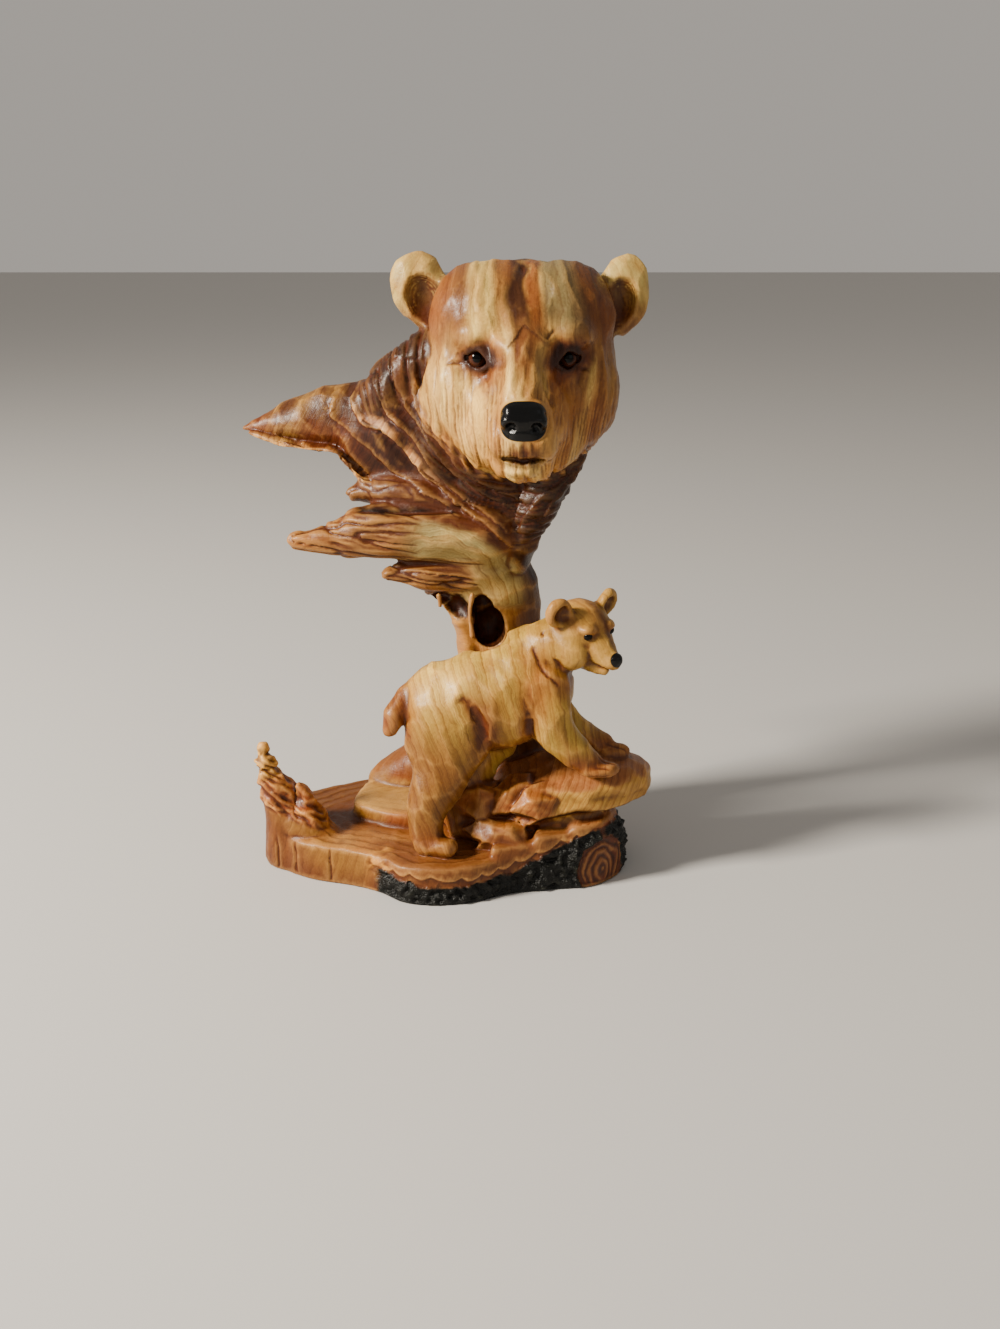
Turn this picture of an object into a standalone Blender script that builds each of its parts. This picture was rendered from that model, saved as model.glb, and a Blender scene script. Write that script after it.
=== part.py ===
"""A mother bear's head and her cub on driftwood: one resin casting, painted to look like carved wood.

The figure is laid out on a grid of 228 units to its height, so that one unit is 1 mm at full size.
X runs to the viewer's right, Y away from the viewer and Z up. The origin is on the flat underside.
Each form is a closed ball, limb, slab or lump. They are fused into one body, as a sculptor's clay is.
"""

import math

import bmesh
import bpy
from mathutils import Euler, Matrix, Vector

STATUE_HEIGHT = 0.228
GRID_HEIGHT = 228.0
UNIT = STATUE_HEIGHT / GRID_HEIGHT

# Fineness of the fused surface in grid units, passes of softening, and the share of triangles kept
VOXEL = 1.1
SOFT_PASSES = 10
CRISP_PASSES = 2
DECIMATE_RATIO = 0.046
RING_SIDES = 20
STATION_STEPS = 5

# Base: thickness at its rim, and how deep the forms go below the underside before they are cut flat
RIM_HEIGHT = 15.0
SINK = 4.0

# Mother's head: the middle of the face, the height of the eyes, and the ears, each with the side
# it is on, its distance from the middle, its height, its half width, its half height and its lean
FACE_X = 23.4
EYE_Z = 193.5
EARS = [(-1, 36.2, 215.0, 10.6, 13.4, 14), (1, 36.0, 212.8, 9.8, 14.4, 8)]
EAR_WALL = 2.8

# Cub's head: its middle, how far it is turned and nods, and the ears, each with its side, how far
# forward it stands and its distance from the middle
CUB_FACE = (44.0, -19.5, 95.5)
CUB_YAW = -46
CUB_NOD = 17
CUB_EARS = [(-1, -1.2, 12.6), (1, 0.2, 11.4)]


def clear_scene():
    """Removes the objects that Blender starts with."""
    for obj in list(bpy.data.objects):
        bpy.data.objects.remove(obj)


def ball(form, centre, radii, turn=(0.0, 0.0, 0.0)):
    """Adds an ellipsoid. Turn is its Euler angles in degrees."""
    rotation = Euler([math.radians(a) for a in turn]).to_matrix().to_4x4()
    place = Matrix.Translation(centre) @ rotation @ Matrix.Diagonal((*radii, 1.0))
    bmesh.ops.create_uvsphere(form, u_segments=24, v_segments=16, radius=1.0, matrix=place)


def pair(form, centre, radii, turn=(0.0, 0.0, 0.0), middle=FACE_X):
    """Adds an ellipsoid and its mirror image, at an equal distance either side of the plane X = middle."""
    for side in (-1, 1):
        place = (middle + side * centre[0], centre[1], centre[2])
        ball(form, place, radii, (turn[0], side * turn[1], side * turn[2]))


def eased(a, b, c, d):
    """Points on a Catmull-Rom curve from b up to c, with a and d as the neighbours on either side."""
    found = []
    for step in range(STATION_STEPS):
        t = step / STATION_STEPS
        found.append([
            0.5 * (2 * q + (r - p) * t + (2 * p - 5 * q + 4 * r - s) * t**2 + (3 * q - p - 3 * r + s) * t**3)
            for p, q, r, s in zip(a, b, c, d)
        ])
    return found


def dome(spot, wide, deep, outwards):
    """Hoops of a rounded end, from the full section to nearly a point. Each is a middle and two half axes."""
    reach = min(wide.length, deep.length)
    hoops = []
    for angle in (25, 50, 75):
        a = math.radians(angle)
        hoops.append((spot + outwards * reach * math.sin(a), wide * math.cos(a), deep * math.cos(a)))
    return hoops


def limb(form, *stations, up=(0.0, -1.0, 0.0)):
    """Adds a tapering limb with rounded ends. A station is x, y, z, half width and half depth.

    The half depth is along up, and the half width is across both the limb's run and up.
    """
    stations = [s if len(s) == 5 else (*s, s[3]) for s in stations]
    padded = [stations[0], *stations, stations[-1]]
    points = []
    for a, b, c, d in zip(padded, padded[1:], padded[2:], padded[3:]):
        points += eased(a, b, c, d)
    points.append(stations[-1])
    spots = [Vector(p[:3]) for p in points]
    last = len(spots) - 1
    hoops = []
    for i, point in enumerate(points):
        along = (spots[min(i + 1, last)] - spots[max(i - 1, 0)]).normalized()
        wide = along.cross(Vector(up)).normalized()
        deep = wide.cross(along)
        hoops.append((spots[i], wide * max(point[3], 0.2), deep * max(point[4], 0.2)))
    back = (spots[0] - spots[1]).normalized()
    ahead = (spots[-1] - spots[-2]).normalized()
    hoops = dome(*hoops[0], back)[::-1] + hoops + dome(*hoops[-1], ahead)
    turns = [2 * math.pi * k / RING_SIDES for k in range(RING_SIDES)]
    loops = []
    for spot, wide, deep in hoops:
        loops.append([form.verts.new(spot + wide * math.cos(a) + deep * math.sin(a)) for a in turns])
    for low, high in zip(loops, loops[1:]):
        for k in range(RING_SIDES):
            n = (k + 1) % RING_SIDES
            form.faces.new((low[k], low[n], high[n], high[k]))
    form.faces.new(loops[0][::-1])
    form.faces.new(loops[-1])


def slab(form, outline, low, high):
    """Adds an upright block with this outline, a list of (x, y) run through by a smooth closed curve."""
    count = len(outline)
    ring = []
    for i in range(count):
        ring += eased(*(outline[(i + k) % count] for k in (-1, 0, 1, 2)))
    face = form.faces.new([form.verts.new((x, y, low)) for x, y in ring])
    face.normal_update()
    if face.normal.z > 0:
        face.normal_flip()
    raised = bmesh.ops.extrude_face_region(form, geom=[face], use_keep_orig=True)["geom"]
    corners = [v for v in raised if isinstance(v, bmesh.types.BMVert)]
    bmesh.ops.translate(form, vec=(0, 0, high - low), verts=corners)


def boulder(form, centre, radii, turn=(0.0, 0.0, 0.0)):
    """Adds a lump of 20 flat faces with these half sizes."""
    rotation = Euler([math.radians(a) for a in turn]).to_matrix().to_4x4()
    place = Matrix.Translation(centre) @ rotation @ Matrix.Diagonal((*radii, 1.0))
    bmesh.ops.create_icosphere(form, subdivisions=1, radius=1.1, matrix=place)


def mother_head(form):
    """The mother's head without its small features: broad skull, brows, cheeks, bridge, muzzle and chin."""
    ball(form, (FACE_X, 6, 192), (34, 31, 33.6))
    pair(form, (13, 1, 204), (21, 22, 21.4))
    pair(form, (18, -1, 180), (17.6, 21, 22.5), (0, 9, 0))
    ball(form, (FACE_X, -10, 168), (24.5, 21.5, 17))
    pair(form, (15, -17, 202), (11, 9, 7), (0, 10, 0))
    limb(
        form,
        (FACE_X, -13, 206, 15, 9), (FACE_X, -24, 194, 12, 9),
        (FACE_X, -33, 184, 10.5, 9), (FACE_X, -39, 177, 10, 8),
    )
    limb(
        form,
        (FACE_X, -14, 176, 21, 19), (FACE_X, -27, 172, 17, 15), (FACE_X, -36, 169, 13, 11.5),
        up=(0, 0, 1),
    )
    ball(form, (FACE_X, -30, 159), (12, 9, 7))
    for ear in EARS:
        mother_ear(form, *ear)


def face_details(form):
    """The nose, the lips and the eyes in their lids, which stay crisp."""
    limb(form, (FACE_X - 4.4, -43.2, 178.6, 2.8, 4.2), (FACE_X + 4.4, -43.2, 178.6, 2.8, 4.2))
    limb(form, (FACE_X - 4.6, -44.4, 175.4, 3.4, 4.4), (FACE_X + 4.6, -44.4, 175.4, 3.4, 4.4))
    limb(form, (FACE_X - 2.2, -43.6, 171.6, 2.8, 4), (FACE_X + 2.2, -43.6, 171.6, 2.8, 4))
    pair(form, (4.4, -39, 166.6), (6.4, 5, 4.6))
    ball(form, (FACE_X, -37.4, 158), (5.6, 4.2, 2.6))
    pair(form, (15.2, -21.6, EYE_Z), (3.6, 3.4, 3.2))


def mother_ear(form, side, out, height, wide, tall, lean):
    """One of the mother's round ears: a thick leaf on a short root."""
    ball(form, (FACE_X + side * out, 9, height), (wide, 5.5, tall), (0, side * lean, 0))
    limb(form, (FACE_X + side * 24, 8, 207, 8.5), (FACE_X + side * 33, 9, 209, 8))


def mother_ear_cup(form, side, out, height, wide, tall, lean):
    """What is scooped out of the front of one of her ears."""
    place = (FACE_X + side * (out - 1.4), 1.2, height - 3.4)
    ball(form, place, (wide - EAR_WALL, 6.6, tall - EAR_WALL), (0, side * (lean + 4), 0))


def neck_and_trunk(form):
    """The neck, which runs down through the waist of the driftwood to the roots behind the cub."""
    limb(
        form,
        (18, 12, 186, 30, 26), (12, 12, 160, 31, 24), (12, 10, 140, 23, 18), (8.5, 9, 118, 17, 14),
        (14, 13, 100, 17, 14), (15, 18, 78, 16, 14), (15, 20, 50, 18, 16), (14, 18, 22, 28, 21),
    )
    limb(
        form,
        (35, -3, 159, 12, 9), (31.5, -3, 145, 8.6, 9), (24.5, 2, 128, 6.8, 9), (19, 8, 112, 6, 7),
        (17, 15, 96, 4, 5),
    )
    limb(form, (-1, 8, 197, 9, 12), (-15, 8, 188.5, 9, 11), (-27, 10, 178, 8.5, 10))


def splinters(form):
    """The broken ends that the wood throws out to the left: a big shoulder, a nub and two splinters."""
    limb(
        form,
        (8, 14, 166, 30, 20), (-18, 15, 165, 28, 17), (-31, 16, 164, 20, 13.5), (-42, 17, 168, 13.4, 10.5),
        (-60, 19, 166.5, 9, 8), (-74, 20, 164.5, 3.8, 4), (-80, 20, 164, 1.2, 2),
    )
    limb(
        form,
        (-77, 17, 162.6, 0.8, 2.6), (-68, 14, 160, 1.5, 5), (-57, 12, 158.2, 1.7, 6),
        (-45, 10, 156.8, 1.7, 6), (-38.6, 9, 151, 1.7, 5), (-34, 8, 146, 1.4, 4),
    )
    limb(
        form, (0, 5, 141, 8, 12), (-22, 7, 143, 7, 10), (-33, 8, 142.6, 4.6, 6),
        (-38.6, 8, 141.4, 2.6, 4),
    )
    limb(
        form,
        (10, 2, 129, 14, 13), (-12, 1, 129, 12, 12), (-31, 0, 129, 10.2, 9), (-41, 0, 127, 7.8, 7),
        (-50, 0, 126, 5, 4.5), (-60, 0, 125, 2.8, 3),
    )
    limb(
        form, (6, 6, 114, 9, 11), (-10, 2, 112.5, 6.5, 9), (-19, 0, 113.5, 4.5, 6),
        (-26, -2, 113, 2.2, 3),
    )
    limb(form, (-10, 5, 105.5, 2.6, 6), (-3.6, 8, 99.5, 2.7, 6), (2, 10, 90, 2.9, 6), (4, 13, 78, 3.6, 7))


def mane_folds(form):
    """The long folds that sweep from behind the cheek to the waist, and the splinters' broken grain."""
    limb(
        form, (-40, 7, 177, 2, 2), (-28, 1.5, 166, 3.4, 2.8), (-19.5, -1, 159, 3.4, 2.8),
        (-7, -3.5, 146.5, 3.2, 2.8), (10, -9.5, 133, 3, 2.8), (22, -8, 122, 1.8, 2),
    )
    limb(
        form, (-28, 6, 185, 2.2, 2), (-24.7, 0.5, 172, 3, 2.8), (-16.4, -2, 163.5, 3, 2.8),
        (-6.8, -4, 151, 3, 2.8), (4, -8.5, 141, 2.8, 2.6), (19, -9, 130, 1.8, 2),
    )
    limb(
        form, (-21.6, 7.5, 191, 2.2, 2), (-20, 1, 180, 3, 2.8), (-12, -3.4, 166, 3, 2.8),
        (-5.5, -6.6, 157, 2.8, 2.8), (4.8, -8.5, 147.5, 2.6, 2.6), (20, -8, 138, 1.6, 2),
    )
    limb(
        form, (-14, 2, 186, 1.8, 2), (-11, -5, 168, 2.6, 2.6), (-2.5, -10, 158, 2.6, 2.6),
        (6, -11, 151, 2.4, 2.4), (20, -9, 145, 1.6, 2),
    )
    limb(
        form, (-62, 13, 172, 1.6, 1.6), (-46, 8, 170, 2.2, 2.2), (-30, 3, 160, 2.2, 2.2),
        (-14, -3, 148, 2.2, 2), (2, -8, 137, 1.6, 1.6),
    )
    limb(
        form, (-57, -2, 127.5, 1.4, 1.6), (-42, -6, 130, 1.8, 2), (-26, -9, 133, 1.8, 2),
        (-8, -9.5, 135, 1.4, 1.6),
    )
    limb(
        form, (-54, -3, 123.5, 1.4, 1.6), (-40, -7, 124.5, 1.8, 1.8), (-22, -10, 126, 1.6, 1.8),
        (-8, -10, 124, 1.2, 1.4),
    )
    limb(form, (-24, -3, 113, 1.2, 1.6), (-14, -6, 114, 1.6, 1.8), (-2, -7, 115, 1.4, 1.6))


def cub_body(form):
    """The cub's body: rump, barrel, shoulder hump and chest, with a short tail."""
    limb(
        form, (-5, -19, 66, 18.5, 16), (6, -19, 68.5, 18.8, 17), (17, -19, 71, 19.2, 17),
        (26.5, -18, 77, 19, 15.5),
    )
    ball(form, (25, -15, 83.5), (13.5, 11, 13.5))
    limb(form, (-18, -21, 73, 4.5), (-22.5, -25, 67, 4), (-25, -27, 60.5, 3))


def cub_hind_leg(form, side_y, shift):
    """A hind leg: heavy thigh, hock and short foot."""
    ball(form, (-3 + shift, side_y, 58), (16, 9.5, 19), (0, 14, 0))
    limb(
        form,
        (-4 + shift, side_y - 1, 54, 13.5, 8), (-7 + shift, side_y - 3, 43, 10.2, 7.5),
        (-10.2 + shift, side_y - 4, 35, 8.8, 7), (-11.8 + shift, side_y - 5, 28, 7.2, 6.4),
        (-11 + shift, side_y - 6, 21, 6.6, 6),
    )
    limb(
        form, (-11.5 + shift, side_y - 7, 19, 6, 4.6), (-3.4 + shift, side_y - 10, 18.4, 5, 3.8),
        up=(0, 0, 1),
    )


def cub_front_leg(form, top, elbow, wrist, paw):
    """A front leg from the shoulder to the paw on the log."""
    limb(form, (*top, 10.5, 8), (*elbow, 8.4, 7), (*wrist, 6.4, 5.6), (*paw, 5.2, 4.4))
    ball(form, (paw[0] + 2.5, paw[1] - 1, paw[2] - 1.8), (7.8, 5.8, 3.4))


def in_cub_face(ahead, left, above):
    """A point of the cub's head, from how far ahead, left and above its middle it is."""
    turned = Euler((0, math.radians(CUB_NOD), math.radians(CUB_YAW))).to_matrix()
    return Vector(CUB_FACE) + turned @ Vector((ahead, left, above))


def cub_ball(form, ahead, left, above, radii, spin=0):
    """Adds an ellipsoid to the cub's head, turned with it and spun this much further."""
    ball(form, in_cub_face(ahead, left, above), radii, (0, CUB_NOD, CUB_YAW + spin))


def cub_head(form):
    """The cub's neck and head, turned towards the viewer and a little down."""
    limb(form, (29, -17, 85, 12.5, 12.5), (36, -18, 90, 11.5, 12), (41.5, -19, 94, 10, 11))
    cub_ball(form, 0, 0, 0.6, (12, 12, 12.2))
    for side in (-1, 1):
        cub_ball(form, 2.5, side * 6.5, -3.5, (9, 6.4, 8))
        cub_ball(form, 8, side * 5, 7.4, (3.4, 3.6, 2.3))
        cub_ball(form, 8.9, side * 5.8, 4.9, (1.9, 1.9, 1.9))
    limb(
        form, (*in_cub_face(6, 0, 2), 7), (*in_cub_face(13, 0, -1), 5.2),
        (*in_cub_face(17.6, 0, -1.8), 3.8),
    )
    limb(
        form, (*in_cub_face(6, 0, -6), 5.5), (*in_cub_face(13, 0, -6.6), 3.4),
        (*in_cub_face(15.4, 0, -6.8), 2.4),
    )
    cub_ball(form, 19.4, 0, -0.4, (2.5, 2.9, 2.5))


def cub_ears(form):
    """The cub's round ears on their roots."""
    for side, ahead, out in CUB_EARS:
        cub_ball(form, ahead, side * out, 10.4, (3.1, 5.4, 5.7), side * 14)
        limb(form, (*in_cub_face(ahead, side * 7, 6), 3.8), (*in_cub_face(ahead, side * 10.5, 9), 3.6))


def cub(form):
    """The whole cub."""
    cub_body(form)
    cub_hind_leg(form, -27, 0)
    cub_hind_leg(form, -12, 12)
    cub_front_leg(form, (31, -26, 79), (33.6, -29, 65), (41.6, -28.5, 54), (49.4, -26.8, 47.6))
    cub_front_leg(form, (30, -11, 74), (36, -8, 60), (45.4, -6, 51), (55, -6, 46.6))
    cub_head(form)


# Plans of the slab, of the step behind the cub's hind legs, of the bank that rises in three steps
# at the right front, and of the flat log end under the cub's front paws
BASE_OUTLINE = [
    (-73, 2), (-70, -14), (-57, -25), (-40, -31), (-29, -37), (-20, -45), (-8, -47.5), (6, -45),
    (20, -38), (36, -34.5), (50, -32), (60, -23), (63.5, -12), (62, 6), (55, 22), (40, 36),
    (15, 44), (-10, 46.5), (-34, 42), (-56, 31), (-69, 17),
]
STEP_OUTLINE = [
    (-42, 2), (-33, -8), (-20, -13), (-6, -10), (20, -10),
    (45, 0), (50, 20), (20, 34), (-15, 37), (-36, 24),
]
STEP_RISE = 6.5
BANK_STEPS = [
    (4.5, [
        (12, -39), (20, -37.5), (36, -34), (50, -31.5), (59, -23), (62, -10), (46, -8), (26, -18), (16, -28),
    ]),
    (7.5, [(28, -35.5), (38, -33.5), (50, -31), (58, -22), (60, -10), (46, -8), (34, -16)]),
    (10.0, [(42, -32.5), (51, -30.5), (58, -22), (60, -10), (50, -8), (42, -20)]),
    (17.0, [(34, -27.5), (48, -26.5), (55, -20), (56, -8), (44, 0), (34, -10)]),
]
LOG_OUTLINE = [
    (20, -20), (27, -28), (40, -31), (55, -28), (68, -19),
    (74, -6), (69, 8), (57, 15), (40, 14), (24, 4),
]
LOG_UNDER = 29.0
LOG_DEPTH = 9.5


def base(form):
    """The ground under the bears: a slab with a raised step, a log, lumps and a broken spire."""
    slab(form, BASE_OUTLINE, -SINK, RIM_HEIGHT)
    slab(form, STEP_OUTLINE, 0, RIM_HEIGHT + STEP_RISE)
    for rise, outline in BANK_STEPS:
        slab(form, outline, 0, RIM_HEIGHT + rise)
    limb(form, (-30, 24, 18, 10, 8), (-14, 22, 28, 12, 12), (2, 20, 36, 14, 14))
    slab(form, LOG_OUTLINE, LOG_UNDER, LOG_UNDER + LOG_DEPTH)
    limb(
        form,
        (20, -8, 30, 15, 8), (34, -8, 34, 21, 9), (48, -8, 37, 22, 8),
        (60, -7, 37.5, 19, 6.5), (67, -6, 36, 12, 6),
        up=(0, 0, 1),
    )
    limb(form, (44, -14, 12, 17, 16), (42, -12, 32, 14, 14))
    limb(form, (14, -15, 22, 10, 8), (27, -18, 25, 9, 8), (42, -18, 26, 8, 8), up=(0, 0, 1))
    spire(form)


def spire(form):
    """The broken wall at the base's left edge: a stump with a second peak that falls to the right."""
    limb(
        form, (-64, -7, 4, 12, 12), (-65.5, -9, 18, 9.5, 9.5), (-69, -11, 30, 6.6, 6.6),
        (-72, -12, 37, 4.2, 4.2),
    )
    limb(
        form, (-56, -14, 4, 10, 9), (-57, -14, 18, 7.5, 7), (-59, -13.5, 28, 3.4, 4),
        (-60.3, -13.5, 34, 1, 1.4),
    )
    limb(form, (-62, -12, 18, 8, 8), (-54, -14, 13, 7, 8), (-46, -14, 8, 6, 8))


def rocks(form):
    """The faceted lumps under the cub's belly and the knobs on top of the spire."""
    boulder(form, (10, -19, 26), (13, 9, 12), (10, 20, 15))
    boulder(form, (22, -21, 31), (11, 8, 9), (0, -15, 40))
    boulder(form, (15, -29, 19), (13, 7, 7), (0, 8, -12))
    boulder(form, (30, -27, 31), (11, 7, 8), (25, 0, 30))
    boulder(form, (3, -15, 19), (9, 9, 8), (0, 30, 70))
    boulder(form, (-73.2, -12, 42.2), (4.2, 4, 3.8), (0, 10, 20))
    boulder(form, (-74, -12, 47.4), (2.6, 2.6, 3.4), (0, 10, 50))


def sockets(form):
    """The shallow eye sockets and the dips beside the bridge of the nose."""
    pair(form, (14.6, -33.5, EYE_Z - 0.3), (8.2, 6.2, 5.4), (0, 14, 0))
    pair(form, (12.5, -35, EYE_Z - 7.5), (5, 5, 7), (0, -20, 0))


def hollows(form):
    """What is cut away: the cups of the ears, the caves in the trunk, the broken ledges and the mouth."""
    for ear in EARS:
        mother_ear_cup(form, *ear)
    for side, ahead, out in CUB_EARS:
        cub_ball(form, ahead + 2.6, side * (out - 0.3), 10.2, (3, 3.5, 3.9), side * 14)
    limb(form, (11.5, -14, 91.5, 6.8, 8.5), (11.5, 8, 91.5, 6, 8), up=(0, 0, 1))
    limb(form, (8.5, -14, 99.5, 4.6, 6.2), (9, 8, 98, 4, 6), up=(0, 0, 1))
    ball(form, (-0.6, -3, 98.8), (5.2, 10, 6.4), (0, -20, 0))
    ball(form, (-6.6, -2, 102.8), (5.4, 9, 3), (0, 12, 0))
    limb(form, (-72, 6, 156.4, 1.6, 4), (-57, 4, 153.6, 2.2, 5), (-45, 2, 151.6, 2.4, 5))
    limb(form, (-23, -10, 110.5, 1, 3), (-14, -9, 109, 2.2, 4.4), (-6, -8, 107.4, 1.2, 3))
    limb(form, (-13, -11, 119, 1, 3), (0, -11, 118, 2, 4), (11, -11, 116.5, 0.8, 3))
    limb(
        form, (6.5, -36.6, 71, 1.6), (8.8, -36.6, 65, 2.8, 3), (9, -35.8, 57, 3, 3),
        (7.8, -34.4, 50, 2.2),
    )
    limb(
        form, (FACE_X - 7.4, -41, 162, 1, 3), (FACE_X, -45, 161.4, 1.6, 4.6),
        (FACE_X + 7.4, -41, 162, 1, 3),
    )


def mesh_object(name, make):
    """A new object whose mesh is what make adds to an empty one, at the statue's real size."""
    form = bmesh.new()
    make(form)
    bmesh.ops.recalc_face_normals(form, faces=form.faces)
    bmesh.ops.scale(form, vec=(UNIT, UNIT, UNIT), verts=form.verts)
    mesh = bpy.data.meshes.new(name)
    form.to_mesh(mesh)
    form.free()
    obj = bpy.data.objects.new(name, mesh)
    bpy.context.scene.collection.objects.link(obj)
    return obj


def cutter(name, make):
    """A helper object that a Boolean takes away, left out of the render."""
    obj = mesh_object(name, make)
    obj.hide_render = True
    obj.display_type = "WIRE"
    return obj


def fuse(obj):
    """Makes the overlapping forms one skin."""
    remesh = obj.modifiers.new("fuse", "REMESH")
    remesh.mode = "VOXEL"
    remesh.voxel_size = VOXEL * UNIT


def soften(obj, passes):
    """Rounds the creases off, as a carver's rubbing down would."""
    smooth = obj.modifiers.new("soften", "SMOOTH")
    smooth.factor = 0.5
    smooth.iterations = passes


def combine(obj, other, operation):
    """Adds another object to this one, or takes it away."""
    boolean = obj.modifiers.new(other.name, "BOOLEAN")
    boolean.operation = operation
    boolean.solver = "EXACT"
    boolean.object = other


def below_floor(form):
    """A block from the underside down, wider than the statue."""
    place = Matrix.Translation((0, 0, -20)) @ Matrix.Diagonal((300, 300, 40, 1))
    bmesh.ops.create_cube(form, size=1.0, matrix=place)


def painted_wood():
    """Varnished resin painted as golden wood."""
    material = bpy.data.materials.new("painted_wood_resin")
    material.use_nodes = True
    shader = material.node_tree.nodes["Principled BSDF"]
    shader.inputs["Base Color"].default_value = (0.50, 0.24, 0.07, 1.0)
    shader.inputs["Roughness"].default_value = 0.38
    shader.inputs["Metallic"].default_value = 0.0
    return material


def soft_forms(form):
    """The forms that flow into each other."""
    base(form)
    neck_and_trunk(form)
    splinters(form)
    mother_head(form)
    cub(form)


def crisp_forms(form):
    """The small forms that are added after the others are softened."""
    mane_folds(form)
    face_details(form)
    cub_ears(form)
    rocks(form)


def build_statue():
    """The casting as one object: fused, softened, detailed, hollowed and cut flat underneath."""
    statue = mesh_object("bear_and_cub_statue", soft_forms)
    details = cutter("detail_helper", crisp_forms)
    scoops = cutter("hollow_cutter", hollows)
    dips = cutter("socket_cutter", sockets)
    fuse(details)
    fuse(scoops)
    fuse(dips)
    fuse(statue)
    combine(statue, dips, "DIFFERENCE")
    soften(statue, SOFT_PASSES)
    combine(statue, details, "UNION")
    combine(statue, scoops, "DIFFERENCE")
    fuse(statue)
    soften(statue, CRISP_PASSES)
    thin = statue.modifiers.new("thin", "DECIMATE")
    thin.ratio = DECIMATE_RATIO
    combine(statue, cutter("floor_cutter", below_floor), "DIFFERENCE")
    statue.data.materials.append(painted_wood())
    statue.data.shade_smooth()


clear_scene()
build_statue()
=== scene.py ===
"""The look of the statue: a mother bear's head and her cub on driftwood, painted as carved wood.

All shapes are laid out in millimetres in the statue's own frame and put on the mesh in metres.
X runs to the viewer's right, Y away from the viewer and Z up, from the middle of the underside.
"""

import math

import bpy
import numpy as np
import openvdb as vdb
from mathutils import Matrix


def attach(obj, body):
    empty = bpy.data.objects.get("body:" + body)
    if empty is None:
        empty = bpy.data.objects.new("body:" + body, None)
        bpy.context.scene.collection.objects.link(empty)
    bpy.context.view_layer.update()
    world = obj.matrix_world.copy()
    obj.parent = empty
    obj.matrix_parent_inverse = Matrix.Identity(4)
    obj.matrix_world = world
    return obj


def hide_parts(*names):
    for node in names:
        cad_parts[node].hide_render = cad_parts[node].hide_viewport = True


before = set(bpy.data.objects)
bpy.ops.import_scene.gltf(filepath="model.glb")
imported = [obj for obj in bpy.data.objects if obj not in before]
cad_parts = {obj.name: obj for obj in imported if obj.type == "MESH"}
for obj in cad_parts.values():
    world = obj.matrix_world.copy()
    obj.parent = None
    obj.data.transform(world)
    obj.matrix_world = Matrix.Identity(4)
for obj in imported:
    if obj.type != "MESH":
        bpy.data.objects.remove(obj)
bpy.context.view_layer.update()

# The casting: the whole statue but its eyes. The real one is polyresin cast in one mould, sprayed and dry
# brushed to look like carved wood, and varnished. It stands loose on its flat underside.
# Its forms are closed shells. Each is a grid of points, round its section and along its run.

STEPS_PER_STATION = 5


def rotation(turn):
    """Euler angles in degrees, about X, then Y, then Z, as a matrix."""
    a, b, c = np.radians(turn)
    rx = np.array([[1, 0, 0], [0, math.cos(a), -math.sin(a)], [0, math.sin(a), math.cos(a)]])
    ry = np.array([[math.cos(b), 0, math.sin(b)], [0, 1, 0], [-math.sin(b), 0, math.cos(b)]])
    rz = np.array([[math.cos(c), -math.sin(c), 0], [math.sin(c), math.cos(c), 0], [0, 0, 1]])
    return rz @ ry @ rx


def skin_of_rings(rings):
    """Triangles over rings of points, one ring per row, with a point at each end that closes it."""
    count, sides = rings.shape[:2]
    points = np.concatenate([rings.reshape(-1, 3), rings[0].mean(0)[None], rings[-1].mean(0)[None]])
    k = np.arange(sides)
    n = (k + 1) % sides
    rows = (np.arange(count - 1) * sides)[:, None]
    a, b, c, d = rows + k, rows + n, rows + sides + n, rows + sides + k
    walls = np.concatenate([np.stack([a, b, c], -1).reshape(-1, 3), np.stack([a, c, d], -1).reshape(-1, 3)])
    last = (count - 1) * sides
    start = np.stack([n, k, np.full(sides, count * sides)], -1)
    end = np.stack([last + k, last + n, np.full(sides, count * sides + 1)], -1)
    return points, np.concatenate([walls, start, end])


def globe(up, round_it, centre, radii, turn, swell=1.0):
    """An ellipsoid at these latitudes and longitudes, scaled by its three radii, turned and put in place."""
    flat = np.cos(up)
    unit = np.stack([flat * np.cos(round_it), flat * np.sin(round_it), np.sin(up) + 0 * round_it], -1)
    return skin_of_rings(unit * radii @ rotation(turn).T * swell + np.array(centre, float))


def egg(centre, radii, turn=(0, 0, 0)):
    """An ellipsoid: a half circle of latitudes, each a circle of longitudes."""
    up = np.linspace(-0.495 * math.pi, 0.495 * math.pi, 22)[:, None]
    round_it = np.linspace(0, 2 * math.pi, 32, endpoint=False)[None]
    return globe(up, round_it, centre, radii, turn)


def between(rows, steps=STEPS_PER_STATION, closed=False):
    """A smooth curve through the rows: between each two a cubic whose slopes are those of its neighbours."""
    rows = np.array(rows, float)
    ends = (rows[-1:], rows[:2]) if closed else (rows[:1], rows[-1:])
    p = np.concatenate([ends[0], rows, ends[1]])
    t = (np.arange(steps) / steps)[None, :, None]
    a, b, c, d = (p[i : len(p) - 3 + i][:, None] for i in range(4))
    curve = 0.5 * (2 * b + (c - a) * t + (2 * a - 5 * b + 4 * c - d) * t**2 + (3 * b - a - 3 * c + d) * t**3)
    curve = curve.reshape(-1, rows.shape[1])
    return curve if closed else np.concatenate([curve, rows[-1:]])


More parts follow.
